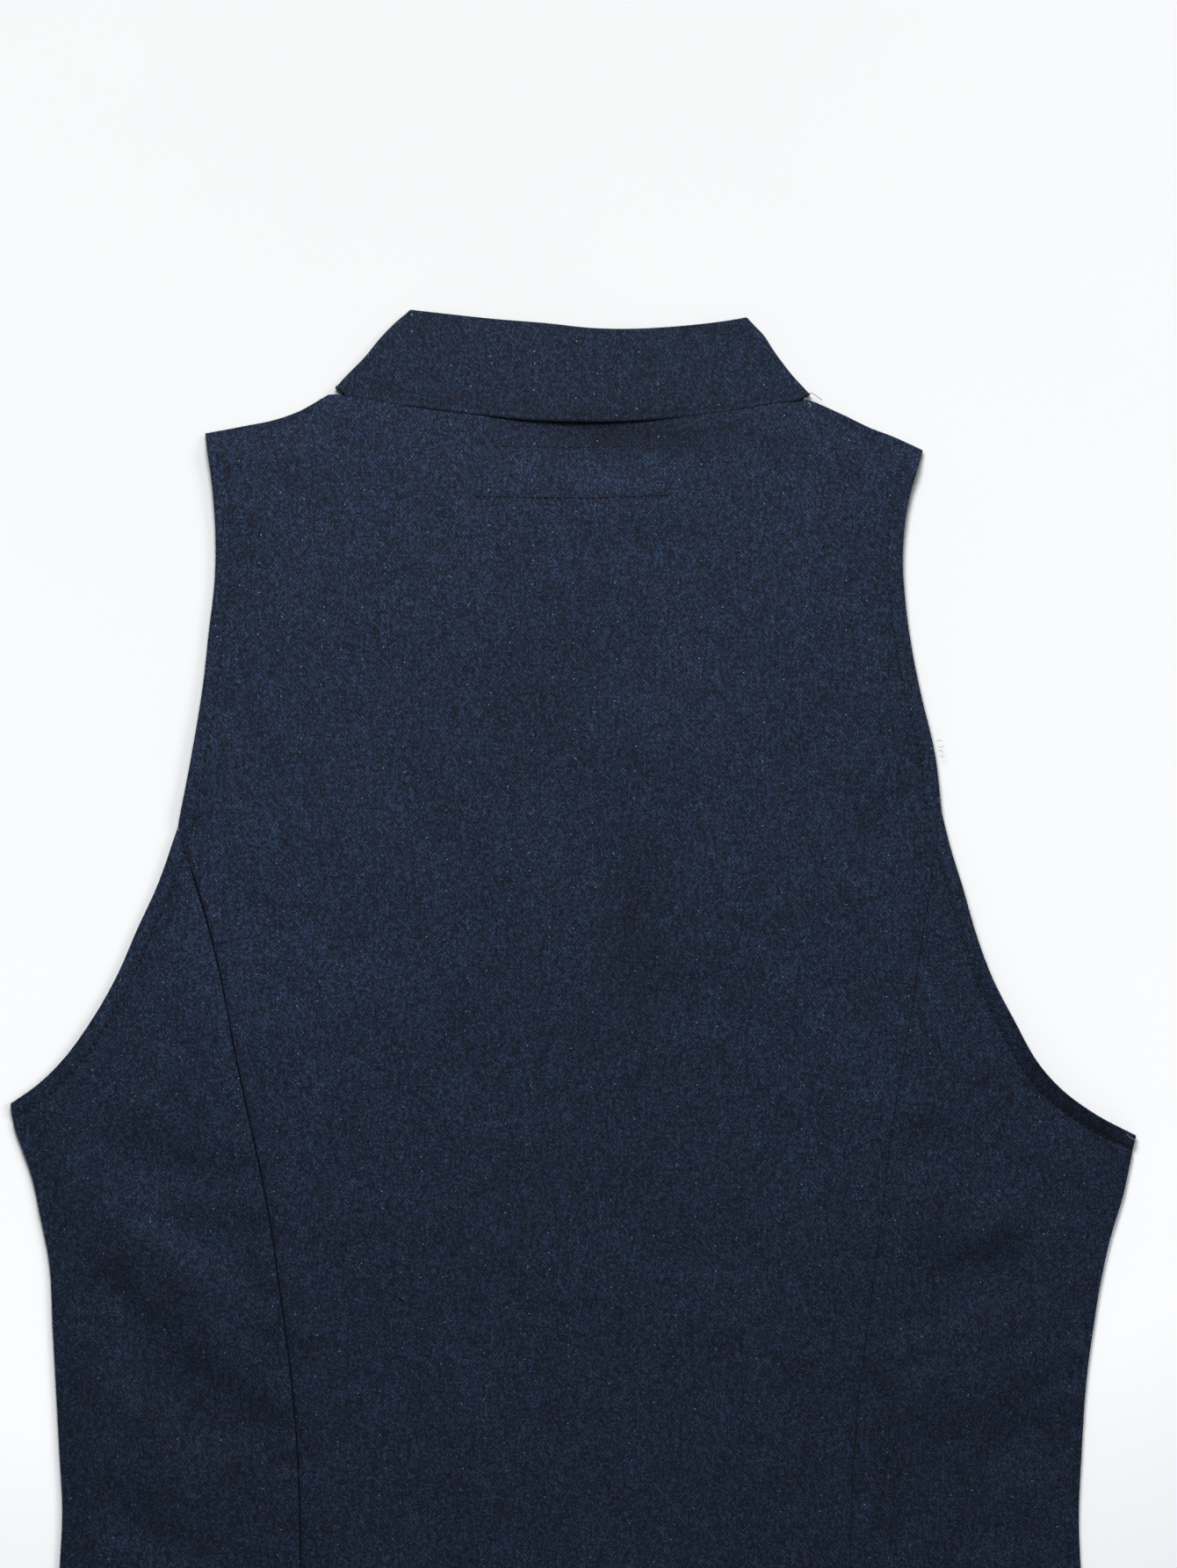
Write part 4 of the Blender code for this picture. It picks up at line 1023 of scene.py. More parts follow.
def make_label_stitching(thickness, finish):
    """The rows and tacks that show where a label is held on the inside."""
    sewn = [(even_steps(curve_through(LABEL_ROW)), 2.6, 0.62, 0.2),
            (even_steps(curve_through(LABEL_TOP_ROW)), 3.2, 0.42, 0.18)]
    sewn += [(even_steps(np.array(ends), 0.3), 1.1, 0.9, 0.1) for ends in LABEL_TACKS]
    rows = [stitches_on(*on_surface(line, back_top), pitch, share=share, lift=lift, seed=41 + k)
            for k, (line, pitch, share, lift) in enumerate(sewn)]
    return stitch_rows("label_stitching", rows, thickness, finish)


def tube(points, radius, sides=6):
    """Points and faces of a thin round thread along points in space, tapered at its two ends."""
    points = np.array(points)
    way = np.gradient(points, axis=0)
    way /= np.linalg.norm(way, axis=1, keepdims=True)
    side = np.cross(way, (0.12, 0.31, 0.94))
    side /= np.linalg.norm(side, axis=1, keepdims=True)
    other = np.cross(way, side)
    taper = np.full(len(points), radius)
    taper[[0, -1]] *= 0.35
    angle = (np.arange(sides) * math.tau / sides)[None, :, None]
    rings = points[:, None] + taper[:, None, None] * (side[:, None] * np.cos(angle) + other[:, None] * np.sin(angle))
    rings[..., 2] = np.maximum(rings[..., 2], 0.0)
    faces = [[k * sides + s, k * sides + (s + 1) % sides, (k + 1) * sides + (s + 1) % sides, (k + 1) * sides + s]
             for k in range(len(points) - 1) for s in range(sides)]
    faces.append(list(range(sides))[::-1])
    faces.append([(len(points) - 1) * sides + s for s in range(sides)])
    return rings.reshape(-1, 3), faces


def joined(name, parts, finishes):
    """Several lots of points and faces, each with the number of its finish, as one piece of sewing."""
    points, faces, numbers = [], [], []
    for part_points, part_faces, number in parts:
        first = sum(len(p) for p in points)
        points.append(part_points)
        faces += [[first + v for v in face] for face in part_faces]
        numbers += [number] * len(part_faces)
    made = made_up(name, np.concatenate(points), faces, finishes, numbers)
    return made


def smooth_thread(table):
    """A smooth line through the rows of a table, in close steps."""
    return even_steps(curve_through(table), 0.25)


def make_loose_threads(dark, pale):
    """Thread ends left on the back and frayed bits at its edges."""
    parts = []
    for table, radius, number in ((CENTRE_THREAD, 0.14, 0), (CENTRE_FLECK, 0.12, 0), (COLLAR_THREAD, 0.12, 0),
                                  (COLLAR_LOOP, 0.12, 1), (UNDERARM_THREAD, 0.13, 1)):
        line = smooth_thread(table)
        line[:, 2] += back_top(line[:, :2])
        parts.append((*tube(line, radius), number))
    for k, table in enumerate(FRAYED_ENDS):
        line = smooth_thread(table)
        height = float(back_top(line[:1])[0])
        parts.append((*tube(in_space(line, height - 0.5 + 0.25 * np.arange(len(line)) / len(line)), 0.07), k % 2))
    return joined("loose_threads", parts, (dark, pale))


def make_fuzz(dark, pale):
    """Short fibres that stand out along the cut of the laid garment."""
    draw = np.random.default_rng(77)
    parts = []
    edges = ("left_low", "left_high", "right_low", "right_high", "left_side", "right_side", "left_shoulder",
             "right_shoulder", "hem", "collar_top")
    for name in edges:
        line = LINES[name]
        length = travelled(line)[-1]
        spots = at_lengths(line, draw.random(int(length * 0.9)) * length)
        heights = np.full(len(spots), 4.2) if name == "collar_top" else back_top(spots * 0.995) - 0.3
        for spot, height in zip(spots, heights):
            turn = draw.random() * math.tau
            reach = 0.35 + 0.75 * draw.random() ** 2
            way = np.array((math.cos(turn), math.sin(turn), 0.3 * draw.standard_normal()))
            bend = np.array((-way[1], way[0], 0.2)) * 0.3 * draw.standard_normal()
            start = np.array((*spot, height))
            fibre = [start - 0.4 * reach * way, start + 0.3 * reach * way + 0.4 * reach * bend, start + reach * way]
            parts.append((*tube(fibre, 0.035, 3), int(draw.random() < 0.35)))
    return joined("edge_fuzz", parts, (dark, pale))


def button_place(k):
    """Where a button's middle is, from below the neck downwards."""
    return NECK_PIT_Y - FIRST_BUTTON - k * BUTTON_SPACING


def button_turn(k):
    """How far a button is turned about its thread, as sewn on by hand."""
    return 0.35 * math.sin(3.0 * k + 1.0)


def blank_of(name, mesh):
    """An object that is only there while a button is cut."""
    bmesh.ops.recalc_face_normals(mesh, faces=mesh.faces)
    data = bpy.data.meshes.new(name)
    mesh.to_mesh(data)
    mesh.free()
    return in_scene(name, data)


def make_button(k, finish):
    """A sew-through button with a raised rim, a dished middle and four holes."""
    rim, dish, soft = 1.4, 0.6, 0.45
    r, t = BUTTON_RADIUS, BUTTON_THICK
    profile = [(0.0, dish), (r - rim - dish - 0.4, dish), (r - rim - 0.55, dish - 0.1), (r - rim - 0.1, 0.12),
               (r - rim + 0.2, 0.0), (r - 0.6, 0.0)]
    profile += [(r - soft + soft * math.sin(a), soft - soft * math.cos(a)) for a in np.linspace(0.3, math.pi / 2, 5)]
    profile += [(r - soft + soft * math.cos(a), t - soft + soft * math.sin(a)) for a in np.linspace(0.0, 1.4, 5)]
    profile += [(r - 1.0, t), (0.0, t)]
    mesh = bmesh.new()
    ring = [mesh.verts.new((x * MM, 0.0, z * MM)) for x, z in profile]
    for a, b in zip(ring, ring[1:]):
        mesh.edges.new((a, b))
    bmesh.ops.spin(mesh, geom=mesh.verts[:] + mesh.edges[:], cent=(0, 0, 0), axis=(0, 0, 1), angle=math.tau,
                   steps=56, use_merge=True)
    bmesh.ops.remove_doubles(mesh, verts=mesh.verts, dist=0.00001)
    blank, cutter = blank_of("button_blank", mesh), make_hole_pins()
    cut = blank.modifiers.new("holes", "BOOLEAN")
    cut.object, cut.operation, cut.solver = cutter, "DIFFERENCE", "EXACT"
    made = bpy.data.meshes.new_from_object(blank.evaluated_get(bpy.context.evaluated_depsgraph_get()))
    for helper in (blank, cutter):
        bpy.data.objects.remove(helper, do_unlink=True)
    made.name = f"button_{k + 1}_finished"
    made.transform(Matrix.Rotation(button_turn(k), 4, "Z"))
    place = np.zeros(len(made.vertices) * 3)
    made.vertices.foreach_get("co", place)
    place[1::3] += button_place(k) * MM
    made.vertices.foreach_set("co", place)
    made.materials.clear()
    made.materials.append(finish)
    made.shade_smooth()
    made.set_sharp_from_angle(angle=math.radians(38))
    piece = placed(f"button_{k + 1}_finished", made)
    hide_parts(f"button_{k + 1}")
    return piece


def make_hole_pins():
    """Four pins that cut the thread holes of a button."""
    mesh = bmesh.new()
    for n in range(4):
        angle = math.pi / 4 + n * math.pi / 2
        made = bmesh.ops.create_cone(mesh, cap_ends=True, segments=20, radius1=0.8 * MM, radius2=0.8 * MM,
                                     depth=8.0 * MM)
        bmesh.ops.translate(mesh, verts=made["verts"],
                            vec=(HOLE_PLACE * math.cos(angle) * MM, HOLE_PLACE * math.sin(angle) * MM, 1.0 * MM))
    return blank_of("hole_pins", mesh)


def make_button_threads(finish):
    """The threads that hold the buttons: two bars across each face and a wound shank behind it."""
    parts = []
    hole = HOLE_PLACE * math.sqrt(0.5)
    for k in range(BUTTON_COUNT):
        y = button_place(k)
        turn = button_turn(k)
        for row in (-1.0, 1.0):
            for strand in range(4):
                off = row * hole + (strand - 1.5) * 0.24
                arch = [(-hole * 1.02, 1.5), (-hole * 0.95, 0.7), (-hole * 0.5, 0.34), (0.0, 0.26), (hole * 0.5, 0.34),
                        (hole * 0.95, 0.7), (hole * 1.02, 1.5)]
                line = [(x * math.cos(turn) - off * math.sin(turn), x * math.sin(turn) + off * math.cos(turn) + y,
                         z + 0.03 * strand) for x, z in arch]
                parts.append((*tube(line, 0.17), 0))
        turns = np.linspace(0.0, 9 * math.tau, 150)
        wound = np.stack([0.75 * np.cos(turns), 0.75 * np.sin(turns) + y, 1.95 + 1.75 * turns / turns[-1]], axis=1)
        parts.append((*tube(wound, 0.16, 5), 0))
        parts.append((*tube([(0.0, y, 1.9), (0.0, y, 2.6), (0.0, y, 3.2), (0.0, y, 3.7)], 0.8, 8), 0))
    return joined("button_threads", parts, (finish,))


def hole_stitches(spots, along, length):
    """Stitches at plan points on the face of the right front."""
    count = len(spots)
    middles = in_space(spots, front_faces(spots, "right")[0] - 0.02)
    return middles, np.tile(along, (count, 1)), np.tile((0.0, 0.0, -1.0), (count, 1)), np.full(count, length)


def make_buttonholes(thickness, finish):
    """The worked edges of the buttonholes on the face of the right front."""
    half_slit, bite, pitch = 7.0, 1.3, 0.42
    rows = []
    for k in range(BUTTON_COUNT):
        y = button_place(k)
        count = int(2 * half_slit / pitch)
        place = np.linspace(-half_slit, half_slit, count)
        for hand in (-1.0, 1.0):
            spots = np.stack([np.full(count, hand * (0.25 + bite / 2)), y + place], axis=1)
            rows.append(hole_stitches(spots, (1.0, 0.08 * hand, 0.0), bite))
        for end in (-1.0, 1.0):
            spots = np.stack([np.linspace(-1.5, 1.5, 8), np.full(8, y + end * (half_slit + 0.5))], axis=1)
            rows.append(hole_stitches(spots, (0.05, 1.0, 0.0), 1.5))
    return stitch_rows("buttonhole_stitching", rows, thickness, finish)


class Value:
    """A number that a node gives, which can be reckoned with like a plain number."""

    def __init__(self, w, socket):
        self.w, self.socket = w, socket

    def __add__(self, other):
        return self.w.maths("ADD", self, other)

    def __radd__(self, other):
        return self.w.maths("ADD", other, self)

    def __sub__(self, other):
        return self.w.maths("SUBTRACT", self, other)

    def __rsub__(self, other):
        return self.w.maths("SUBTRACT", other, self)

    def __mul__(self, other):
        return self.w.maths("MULTIPLY", self, other)

    def __rmul__(self, other):
        return self.w.maths("MULTIPLY", other, self)

    def __truediv__(self, other):
        return self.w.maths("DIVIDE", self, other)

    def __rtruediv__(self, other):
        return self.w.maths("DIVIDE", other, self)


class Wiring:
    """Places nodes in one node tree and links them."""

    def __init__(self, tree):
        self.tree = tree

    def node(self, kind, values=None, **settings):
        """A new node with its settings. A value that is another node's output is linked."""
        made = self.tree.nodes.new("ShaderNode" + kind)
        for key, value in settings.items():
            setattr(made, key, value)
        for key, value in (values or {}).items():
            self.put(value, made.inputs[key])
        return made

    def put(self, value, socket):
        """Links a node's output to a socket, or sets the socket to a plain value."""
        if isinstance(value, (Value, bpy.types.NodeSocket)):
            self.tree.links.new(getattr(value, "socket", value), socket)
        else:
            socket.default_value = value

    def maths(self, operation, *values):
        """The result of one sum on numbers."""
        return Value(self, self.node("Math", dict(enumerate(values)), operation=operation).outputs[0])

    def floor(self, value):
        """The whole number below."""
        return self.maths("FLOOR", value)

    def vector(self, operation, *values):
        """The result of one sum on vectors."""
        made = self.node("VectorMath", dict(enumerate(values)), operation=operation)
        return Value(self, made.outputs["Value"]) if operation == "LENGTH" else made.outputs["Vector"]

    def parts(self, vector):
        """The first two coordinates of a vector."""
        outputs = self.node("SeparateXYZ", {0: vector}).outputs
        return Value(self, outputs[0]), Value(self, outputs[1])

    def joined(self, *numbers):
        """A vector from its coordinates."""
        return self.node("CombineXYZ", dict(enumerate(numbers))).outputs[0]

    def grey(self, tone):
        """A grey of a tone."""
        return self.node("CombineColor", {0: tone, 1: tone, 2: tone}).outputs[0]

    def blend(self, share, first, second, blend_type="MIX"):
        """A colour between two."""
        made = self.node("Mix", {0: share, 6: first, 7: second}, data_type="RGBA", blend_type=blend_type)
        return made.outputs[2]

    def mixed(self, share, first, second):
        """A number between two."""
        return Value(self, self.node("Mix", {0: share, 2: first, 3: second}, data_type="FLOAT").outputs[0])

    def between(self, value, low, high, new_low=0.0, new_high=1.0, smooth=False):
        """A number moved from one range to another."""
        made = self.node("MapRange", {0: value, 1: low, 2: high, 3: new_low, 4: new_high},
                         interpolation_type="SMOOTHSTEP" if smooth else "LINEAR")
        return Value(self, made.outputs[0])

    def noise(self, vector, scale, detail=2.0, dimensions="3D"):
        """A noise value."""
        made = self.node("TexNoise", {"Vector": vector, "Scale": scale, "Detail": detail}, noise_dimensions=dimensions)
        return Value(self, made.outputs[0])

    def luck(self, *numbers):
        """A random number for each cell, told by its whole numbers."""
        made = self.node("TexWhiteNoise", {"Vector": self.joined(*numbers)}, noise_dimensions=f"{len(numbers)}D")
        return Value(self, made.outputs["Value"])

    def shaken(self, vector, scale, reach):
        """A vector moved a little either way, as uneven threads are. reach is the whole of it, in metres."""
        wobble = self.node("TexNoise", {"Vector": vector, "Scale": scale, "Detail": 2.0}).outputs["Color"]
        shift = self.vector("MULTIPLY", self.vector("SUBTRACT", wobble, (0.5, 0.5, 0.5)), (reach, reach, 0.0))
        return self.vector("ADD", vector, shift)

    def scaled(self, vector, x, y):
        """A vector stretched along each way."""
        return self.vector("MULTIPLY", vector, (x, y, 0.0))


class Effect:
    """A shader node group with named sockets. It is wired once, by the function that it is made with."""

    def __init__(self, name, inputs, outputs, wire):
        self.group = bpy.data.node_groups.get(name)
        if self.group:
            return
        self.group = bpy.data.node_groups.new(name, "ShaderNodeTree")
        for label, kind, value in inputs:
            made = self.group.interface.new_socket(name=label, in_out="INPUT", socket_type="NodeSocket" + kind)
            if value is not None:
                made.default_value = value
        for label in outputs:
            self.group.interface.new_socket(name=label, in_out="OUTPUT", socket_type="NodeSocketFloat")
        w = Wiring(self.group)
        given = self.group.nodes.new("NodeGroupInput").outputs
        result = self.group.nodes.new("NodeGroupOutput").inputs
        sockets = [Value(w, given[label]) if kind == "Float" else given[label] for label, kind, _ in inputs]
        for label, value in zip(outputs, wire(w, *sockets)):
            w.put(value, result[label])

    def placed(self, w, **values):
        """The group placed in a material. Its outputs can be reckoned with."""
        made = w.tree.nodes.new("ShaderNodeGroup")
        made.node_tree = self.group
        for key, value in values.items():
            w.put(value, made.inputs[key])
        return [Value(w, output) for output in made.outputs]


def wire_weave(w, grain, warp_pitch, weft_pitch, fleck_width, fleck_length, fleck_contrast, fleck_order, unevenness):
    """Twill of fine warp and weft threads: where the pale weft shows, how high the threads stand, and flecks."""
    across, along = w.parts(w.shaken(grain, 160.0, 0.0009))
    x, y = across / warp_pitch, along / weft_pitch
    column, row = w.floor(x), w.floor(y)
    in_x, in_y = w.maths("FRACT", x) - 0.5, w.maths("FRACT", y) - 0.5
    weft_up = w.maths("LESS_THAN", w.maths("FRACT", (column + row + 0.5) / 3.0), 0.3333)
    luck = w.luck(column, row)
    spot = w.between(w.vector("LENGTH", w.joined(in_x, in_y)), 0.62, 0.2, smooth=True)
    bright = w.maths("POWER", luck, 1.5) * unevenness + 0.08
    shown = weft_up * spot * bright
    rest = (1.0 - weft_up) * (w.maths("POWER", luck, 2.0) * 0.22)
    round_warp = w.maths("COSINE", in_x * math.pi)
    round_weft = w.maths("COSINE", in_y * math.pi) * 0.6
    high = w.mixed(weft_up, round_warp, round_weft)
    lane = w.floor((across + along * 0.1) / fleck_width)
    place = w.floor(along / fleck_length)
    fleck_luck = w.luck(lane, place, 5.0)
    lively = w.maths("POWER", fleck_luck, 1.4) * 2.4 - 1.0
    odd = w.maths("FLOORED_MODULO", lane + place, 2.0)
    turn_about = (odd * 2.0 - 1.0) * (0.25 + fleck_luck * 0.6)
    fleck = 1.0 + w.mixed(fleck_order, lively, turn_about) * fleck_contrast
    return shown + rest, high, fleck


def twill_weave():
    """The weave as an effect."""
    return Effect("Twill weave", (
        ("Grain", "Vector", None), ("Warp pitch", "Float", 0.0005), ("Weft pitch", "Float", 0.00056),
        ("Fleck width", "Float", 0.0006), ("Fleck length", "Float", 0.0007), ("Fleck contrast", "Float", 0.85),
        ("Fleck order", "Float", 0.22), ("Unevenness", "Float", 1.4)), ("Weft", "Height", "Fleck"), wire_weave)


def wire_yarn(w, grain, width, upright_share, level_share):
    """Yarns that are paler or darker for a stretch, along and across the cloth, as a factor about 1, and slubs."""
    x, y = w.parts(w.shaken(grain, 90.0, 0.0008))
    column, row = w.floor(x / width), w.floor(y / width)
    upright = w.noise(w.joined(column * 1.73, y * 130.0), 1.0, 1.0, "2D") - 0.5
    level = w.noise(w.joined(x * 150.0, row * 1.91), 1.0, 1.0, "2D") - 0.5
    yarn = upright * (upright_share * 3.0) + level * (level_share * 3.0)
    slub = w.noise(w.vector("ADD", w.scaled(grain, 190.0, 1500.0), (31.0, 17.0, 0.0)), 1.0, 1.0, "2D")
    return w.maths("MAXIMUM", 1.0 + yarn, 0.12), w.between(slub, 0.68, 0.78)


def uneven_yarn():
    """The unevenness of the yarn as an effect."""
    return Effect("Uneven yarn", (("Grain", "Vector", None), ("Yarn width", "Float", 0.00065),
                                  ("Upright", "Float", 0.32), ("Level", "Float", 0.18)), ("Yarn", "Slub"), wire_yarn)


def wire_tone_and_painted_shade(w, place, strength):
    """Broad soft areas of paler or darker tone, as a factor about 1: partly uneven dye, partly painted light and shade
    of folds and puckers, and a painted shadow under the collar's middle.
    """
    total = 0.0
    for x, y, half_width, half_length, lean, change in TONE_AND_PAINTED_SHADE_AREAS:
        right, up = w.parts(w.vector("SUBTRACT", place, (x * MM, y * MM, 0.0)))
        side, along = math.cos(math.radians(lean)), math.sin(math.radians(lean))
        across = right * (side / (half_width * MM)) + up * (along / (half_width * MM))
        down = right * (-along / (half_length * MM)) + up * (side / (half_length * MM))
        total = total + w.maths("EXPONENT", (across * across + down * down) * -1.0) * change
    return (1.0 + total * strength,)


def tone_and_painted_shade():
    """The areas of tone and painted shade as an effect."""
    return Effect("Tone and painted shade", (("Place", "Vector", None), ("Strength", "Float", 1.0)), ("Tone",), wire_tone_and_painted_shade)


def wire_mottle(w, grain):
    """Cloudy change of depth and hue from the dye."""
    depth = w.noise(w.scaled(grain, 62.0, 50.0), 1.0, 4.0, "2D")
    hue = w.noise(w.vector("ADD", w.scaled(grain, 105.0, 85.0), (40.0, 11.0, 0.0)), 1.0, 3.0, "2D")
    return w.between(depth, 0.3, 0.7), w.between(hue, 0.34, 0.66)


def dye_mottle():
    """The mottle as an effect."""
    return Effect("Dye mottle", (("Grain", "Vector", None),), ("Depth", "Hue"), wire_mottle)


def wire_lint(w, grain, spacing):
    """Tiny pale specks of lint, few and far between."""
    cells = w.node("TexVoronoi", {"Vector": grain, "Scale": 1.0 / spacing}, voronoi_dimensions="2D")
    luck = w.node("SeparateColor", {0: cells.outputs["Color"]}).outputs[0]
    small = w.between(cells.outputs["Distance"], 0.032, 0.012)
    return (small * w.maths("GREATER_THAN", luck, 0.78),)


def lint():
    """The lint as an effect."""
    return Effect("Lint", (("Grain", "Vector", None), ("Spacing", "Float", 0.008)), ("Speck",), wire_lint)


def material(name, values):
    """A new material with its wiring and its shader. values are the shader's plain ones."""
    made = bpy.data.materials.new(name)
    made.use_nodes = True
    shader = made.node_tree.nodes["Principled BSDF"]
    for key, value in values.items():
        shader.inputs[key].default_value = value
    return made, Wiring(made.node_tree), shader


def relief(w, shader, height, strength, reach):
    """Roughens a material's surface."""
    bump = w.node("Bump", {"Height": height, "Strength": strength, "Distance": reach})
    w.put(bump.outputs[0], shader.inputs["Normal"])


def denim_finish(name):
    """The indigo cloth. Its face shows the dark warp, its reverse more of the pale weft."""
    known = bpy.data.materials.get(name)
    if known:
        return known
    look = bpy.context.scene.waistcoat_cloth
    made, w, shader = material(name, {"Specular IOR Level": 0.16, "Sheen Weight": 0.06, "Sheen Roughness": 0.5,
                                      "Sheen Tint": SHEEN_COLOUR})
    grain = w.node("UVMap", uv_map="grain").outputs[0]
    weft, height, fleck = twill_weave().placed(w, Grain=grain)
    yarn, slub = uneven_yarn().placed(w, Grain=grain)
    cloud, hue = dye_mottle().placed(w, Grain=grain)
    speck, = lint().placed(w, Grain=grain)
    # painted light and shade of folds and puckers and a painted shadow under the collar, with uneven dye
    tone_and_shade, = tone_and_painted_shade().placed(w, Place=w.node("TexCoord").outputs["Object"])
    if name == "denim_reverse":
        weft = weft * 0.6 + 0.3
    threads = w.blend(weft, (*look.warp_colour, 1.0), (*look.weft_colour, 1.0))
    tint = w.blend(hue, (0.94, 1.03, 1.03, 1.0), (1.07, 0.97, 0.98, 1.0))
    dyed = w.blend(1.0, threads, tint, "MULTIPLY")
    depth = w.between(cloud, 0.0, 1.0, 0.92, 1.08) * yarn * w.between(slub, 0.0, 1.0, 1.0, 0.6)
    depth = depth * fleck * tone_and_shade * (look.collar_depth if name == "collar_denim" else 1.0)
    deep = w.blend(1.0, dyed, w.grey(depth), "MULTIPLY")
    w.put(w.blend(speck * 0.55, deep, LINT_COLOUR), shader.inputs["Base Color"])
    w.put(w.between(height, 0.0, 1.0, 0.97, 0.86), shader.inputs["Roughness"])
    relief(w, shader, height * 0.5 + yarn * 0.6, 0.4, 0.0001)
    return made


def thread_finish(name, colour, roughness=0.7):
    """Sewing thread with a fine twist."""
    known = bpy.data.materials.get(name)
    if known:
        return known
    made, w, shader = material(name, {"Specular IOR Level": 0.25, "Roughness": roughness})
    place = w.node("TexCoord").outputs["Object"]
    twist = w.node("TexWave", {"Vector": place, "Scale": 900.0, "Distortion": 3.0, "Detail": 1.0},
                   bands_direction="DIAGONAL").outputs["Fac"]
    shade = w.between(twist, 0.0, 1.0, 0.7, 1.2) * w.between(w.noise(place, 260.0, 2.0), 0.3, 0.7, 0.75, 1.25)
    w.put(w.blend(1.0, (*colour, 1.0), w.grey(shade), "MULTIPLY"), shader.inputs["Base Color"])
    relief(w, shader, twist, 0.4, 0.00005)
    return made


def button_finish():
    """Dark dyed horn, faintly clouded, polished on the rim."""
    known = bpy.data.materials.get("dark_horn")
    if known:
        return known
    colour = bpy.context.scene.waistcoat_buttons.horn_colour
    made, w, shader = material("dark_horn", {"Specular IOR Level": 0.45})
    place = w.node("TexCoord").outputs["Object"]
    clouds = w.noise(w.vector("MULTIPLY", place, (1.0, 2.6, 1.0)), 210.0, 5.0)
    grain = w.noise(place, 1500.0, 3.0)
    pale = tuple(min(1.0, c * 3.4 + 0.006) for c in colour)
    mixed = w.blend(w.between(clouds, 0.42, 0.68, smooth=True), (*colour, 1.0), (*pale, 1.0))
    w.put(mixed, shader.inputs["Base Color"])
    w.put(w.between(clouds + grain, 0.7, 1.3, 0.24, 0.42), shader.inputs["Roughness"])
    relief(w, shader, grain, 0.12, 0.0001)
    return made


def floor_finish(look):
    """A pale table top, a shade greyer below the lamp so that it looks even."""
    made, w, shader = material("pale_table_top", {"Specular IOR Level": 0.0, "Roughness": 0.95})
    place = w.node("TexCoord").outputs["Object"]
    reach = w.vector("LENGTH", w.vector("SUBTRACT", place, tuple(look.lamp_place)))
    lamp_share = look.lamp_power / (4.0 * math.pi**2) * look.lamp_place[2]
    light = lamp_share / w.maths("POWER", reach, 3.0) + (look.sky + look.side_light * SIDE_LIGHT_FALL / math.pi)
    level = w.maths("MINIMUM", look.floor_tone / light, 0.92)
    faint = w.between(w.noise(place, 9.0, 3.0), 0.3, 0.7, 0.996, 1.004)
    w.put(w.grey(level * faint), shader.inputs["Base Color"])
    return made


def length(label, about, default):
    """A property in metres."""
    return bpy.props.FloatProperty(name=label, description=about, default=default, min=0.0, unit="LENGTH", precision=5)


def colour(label, about, default):
    """A colour property."""
    return bpy.props.FloatVectorProperty(name=label, description=about, default=default, min=0.0, max=1.0,
                                         subtype="COLOR", size=3)


class WaistcoatCloth(bpy.types.PropertyGroup):
    """What a user would change about the cloth."""

    warp_colour: colour("Warp colour", "The dark indigo threads that make the face", (0.0038, 0.0072, 0.0167))
    weft_colour: colour("Weft colour", "The paler threads that show between them", (0.0161, 0.0296, 0.0618))
    collar_depth: bpy.props.FloatProperty(name="Collar depth", description="Tone of the collar beside the back's",
                                          default=0.8, min=0.0)


class WaistcoatSewing(bpy.types.PropertyGroup):
    """What a user would change about the sewing."""

    stitch_pitch: length("Stitch pitch", "From the start of one stitch to the start of the next", 0.0028)
    thread_thickness: length("Thread thickness", "Thickness of the sewing thread", 0.0005)
    # The default is darker than the cloth's warp: partly the navy of the thread, partly painted shade of the stitched
    # grooves that it lies in
    thread_colour_with_groove_shade: colour("Thread colour", "The sewing thread of the turned edges", (0.0018, 0.0030, 0.0066))


class WaistcoatButtons(bpy.types.PropertyGroup):
    """What a user would change about the buttons."""

    horn_colour: colour("Button colour", "The dark ground of the buttons", (0.012, 0.015, 0.024))


class WaistcoatStage(bpy.types.PropertyGroup):
    """The table, the light and the camera."""

    lamp_place: bpy.props.FloatVectorProperty(name="Lamp place", description="Middle of the soft lamp above the collar",
                                              default=(-0.06, 0.56, 0.56), size=3, subtype="TRANSLATION",
                                              unit="LENGTH")
    lamp_radius: length("Lamp radius", "Radius of the soft lamp", 0.16)
    lamp_power: bpy.props.FloatProperty(name="Lamp power", description="Power of the soft lamp, in watts",
                                        default=31.0, min=0.0)
    side_light: bpy.props.FloatProperty(name="Side light", description="Strength of the far light on the right",
                                        default=1.25, min=0.0)
    sky: bpy.props.FloatProperty(name="Sky", description="Strength of the even light from all round", default=0.245,
                                 min=0.0)
    floor_tone: bpy.props.FloatProperty(name="Table tone", description="How pale the table looks in this light",
                                        default=1.0, min=0.0, soft_max=1.0, subtype="FACTOR")
    camera_height: length("Camera height", "How far above the table the camera is", 1.4155)


def declare_cloth(node, area):
    """Hides the solid that a piece of cloth stands for. area, the size that it was cut to, is not used."""
    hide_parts(node)


def cut_size(plan):
    """Width, length and area of a laid panel's cut, in metres."""
    low, high = plan.reshape(-1, 2).min(axis=0), plan.reshape(-1, 2).max(axis=0)
    return tuple(float(s) for s in (high - low) * MM), float(own_area(plan) * MM * MM)


class WAISTCOAT_OT_back_panels(bpy.types.Operator):
    """Make the centre and the two sides of the back"""

    bl_idname = "waistcoat.back_panels"
    bl_label = "Back Panels"

    def execute(self, context):
        made = {"back_centre": make_back_centre()}
        for side in ("left", "right"):
            made["back_side_" + side] = make_back_side(side)
        for node, (piece, plan) in made.items():
            flat, area = cut_size(plan)
            rests = {"back_centre": ["front_left", "front_right"]}.get(node, ["front_" + node.split("_")[-1]])
            declare_cloth(node, area)
        return {"FINISHED"}


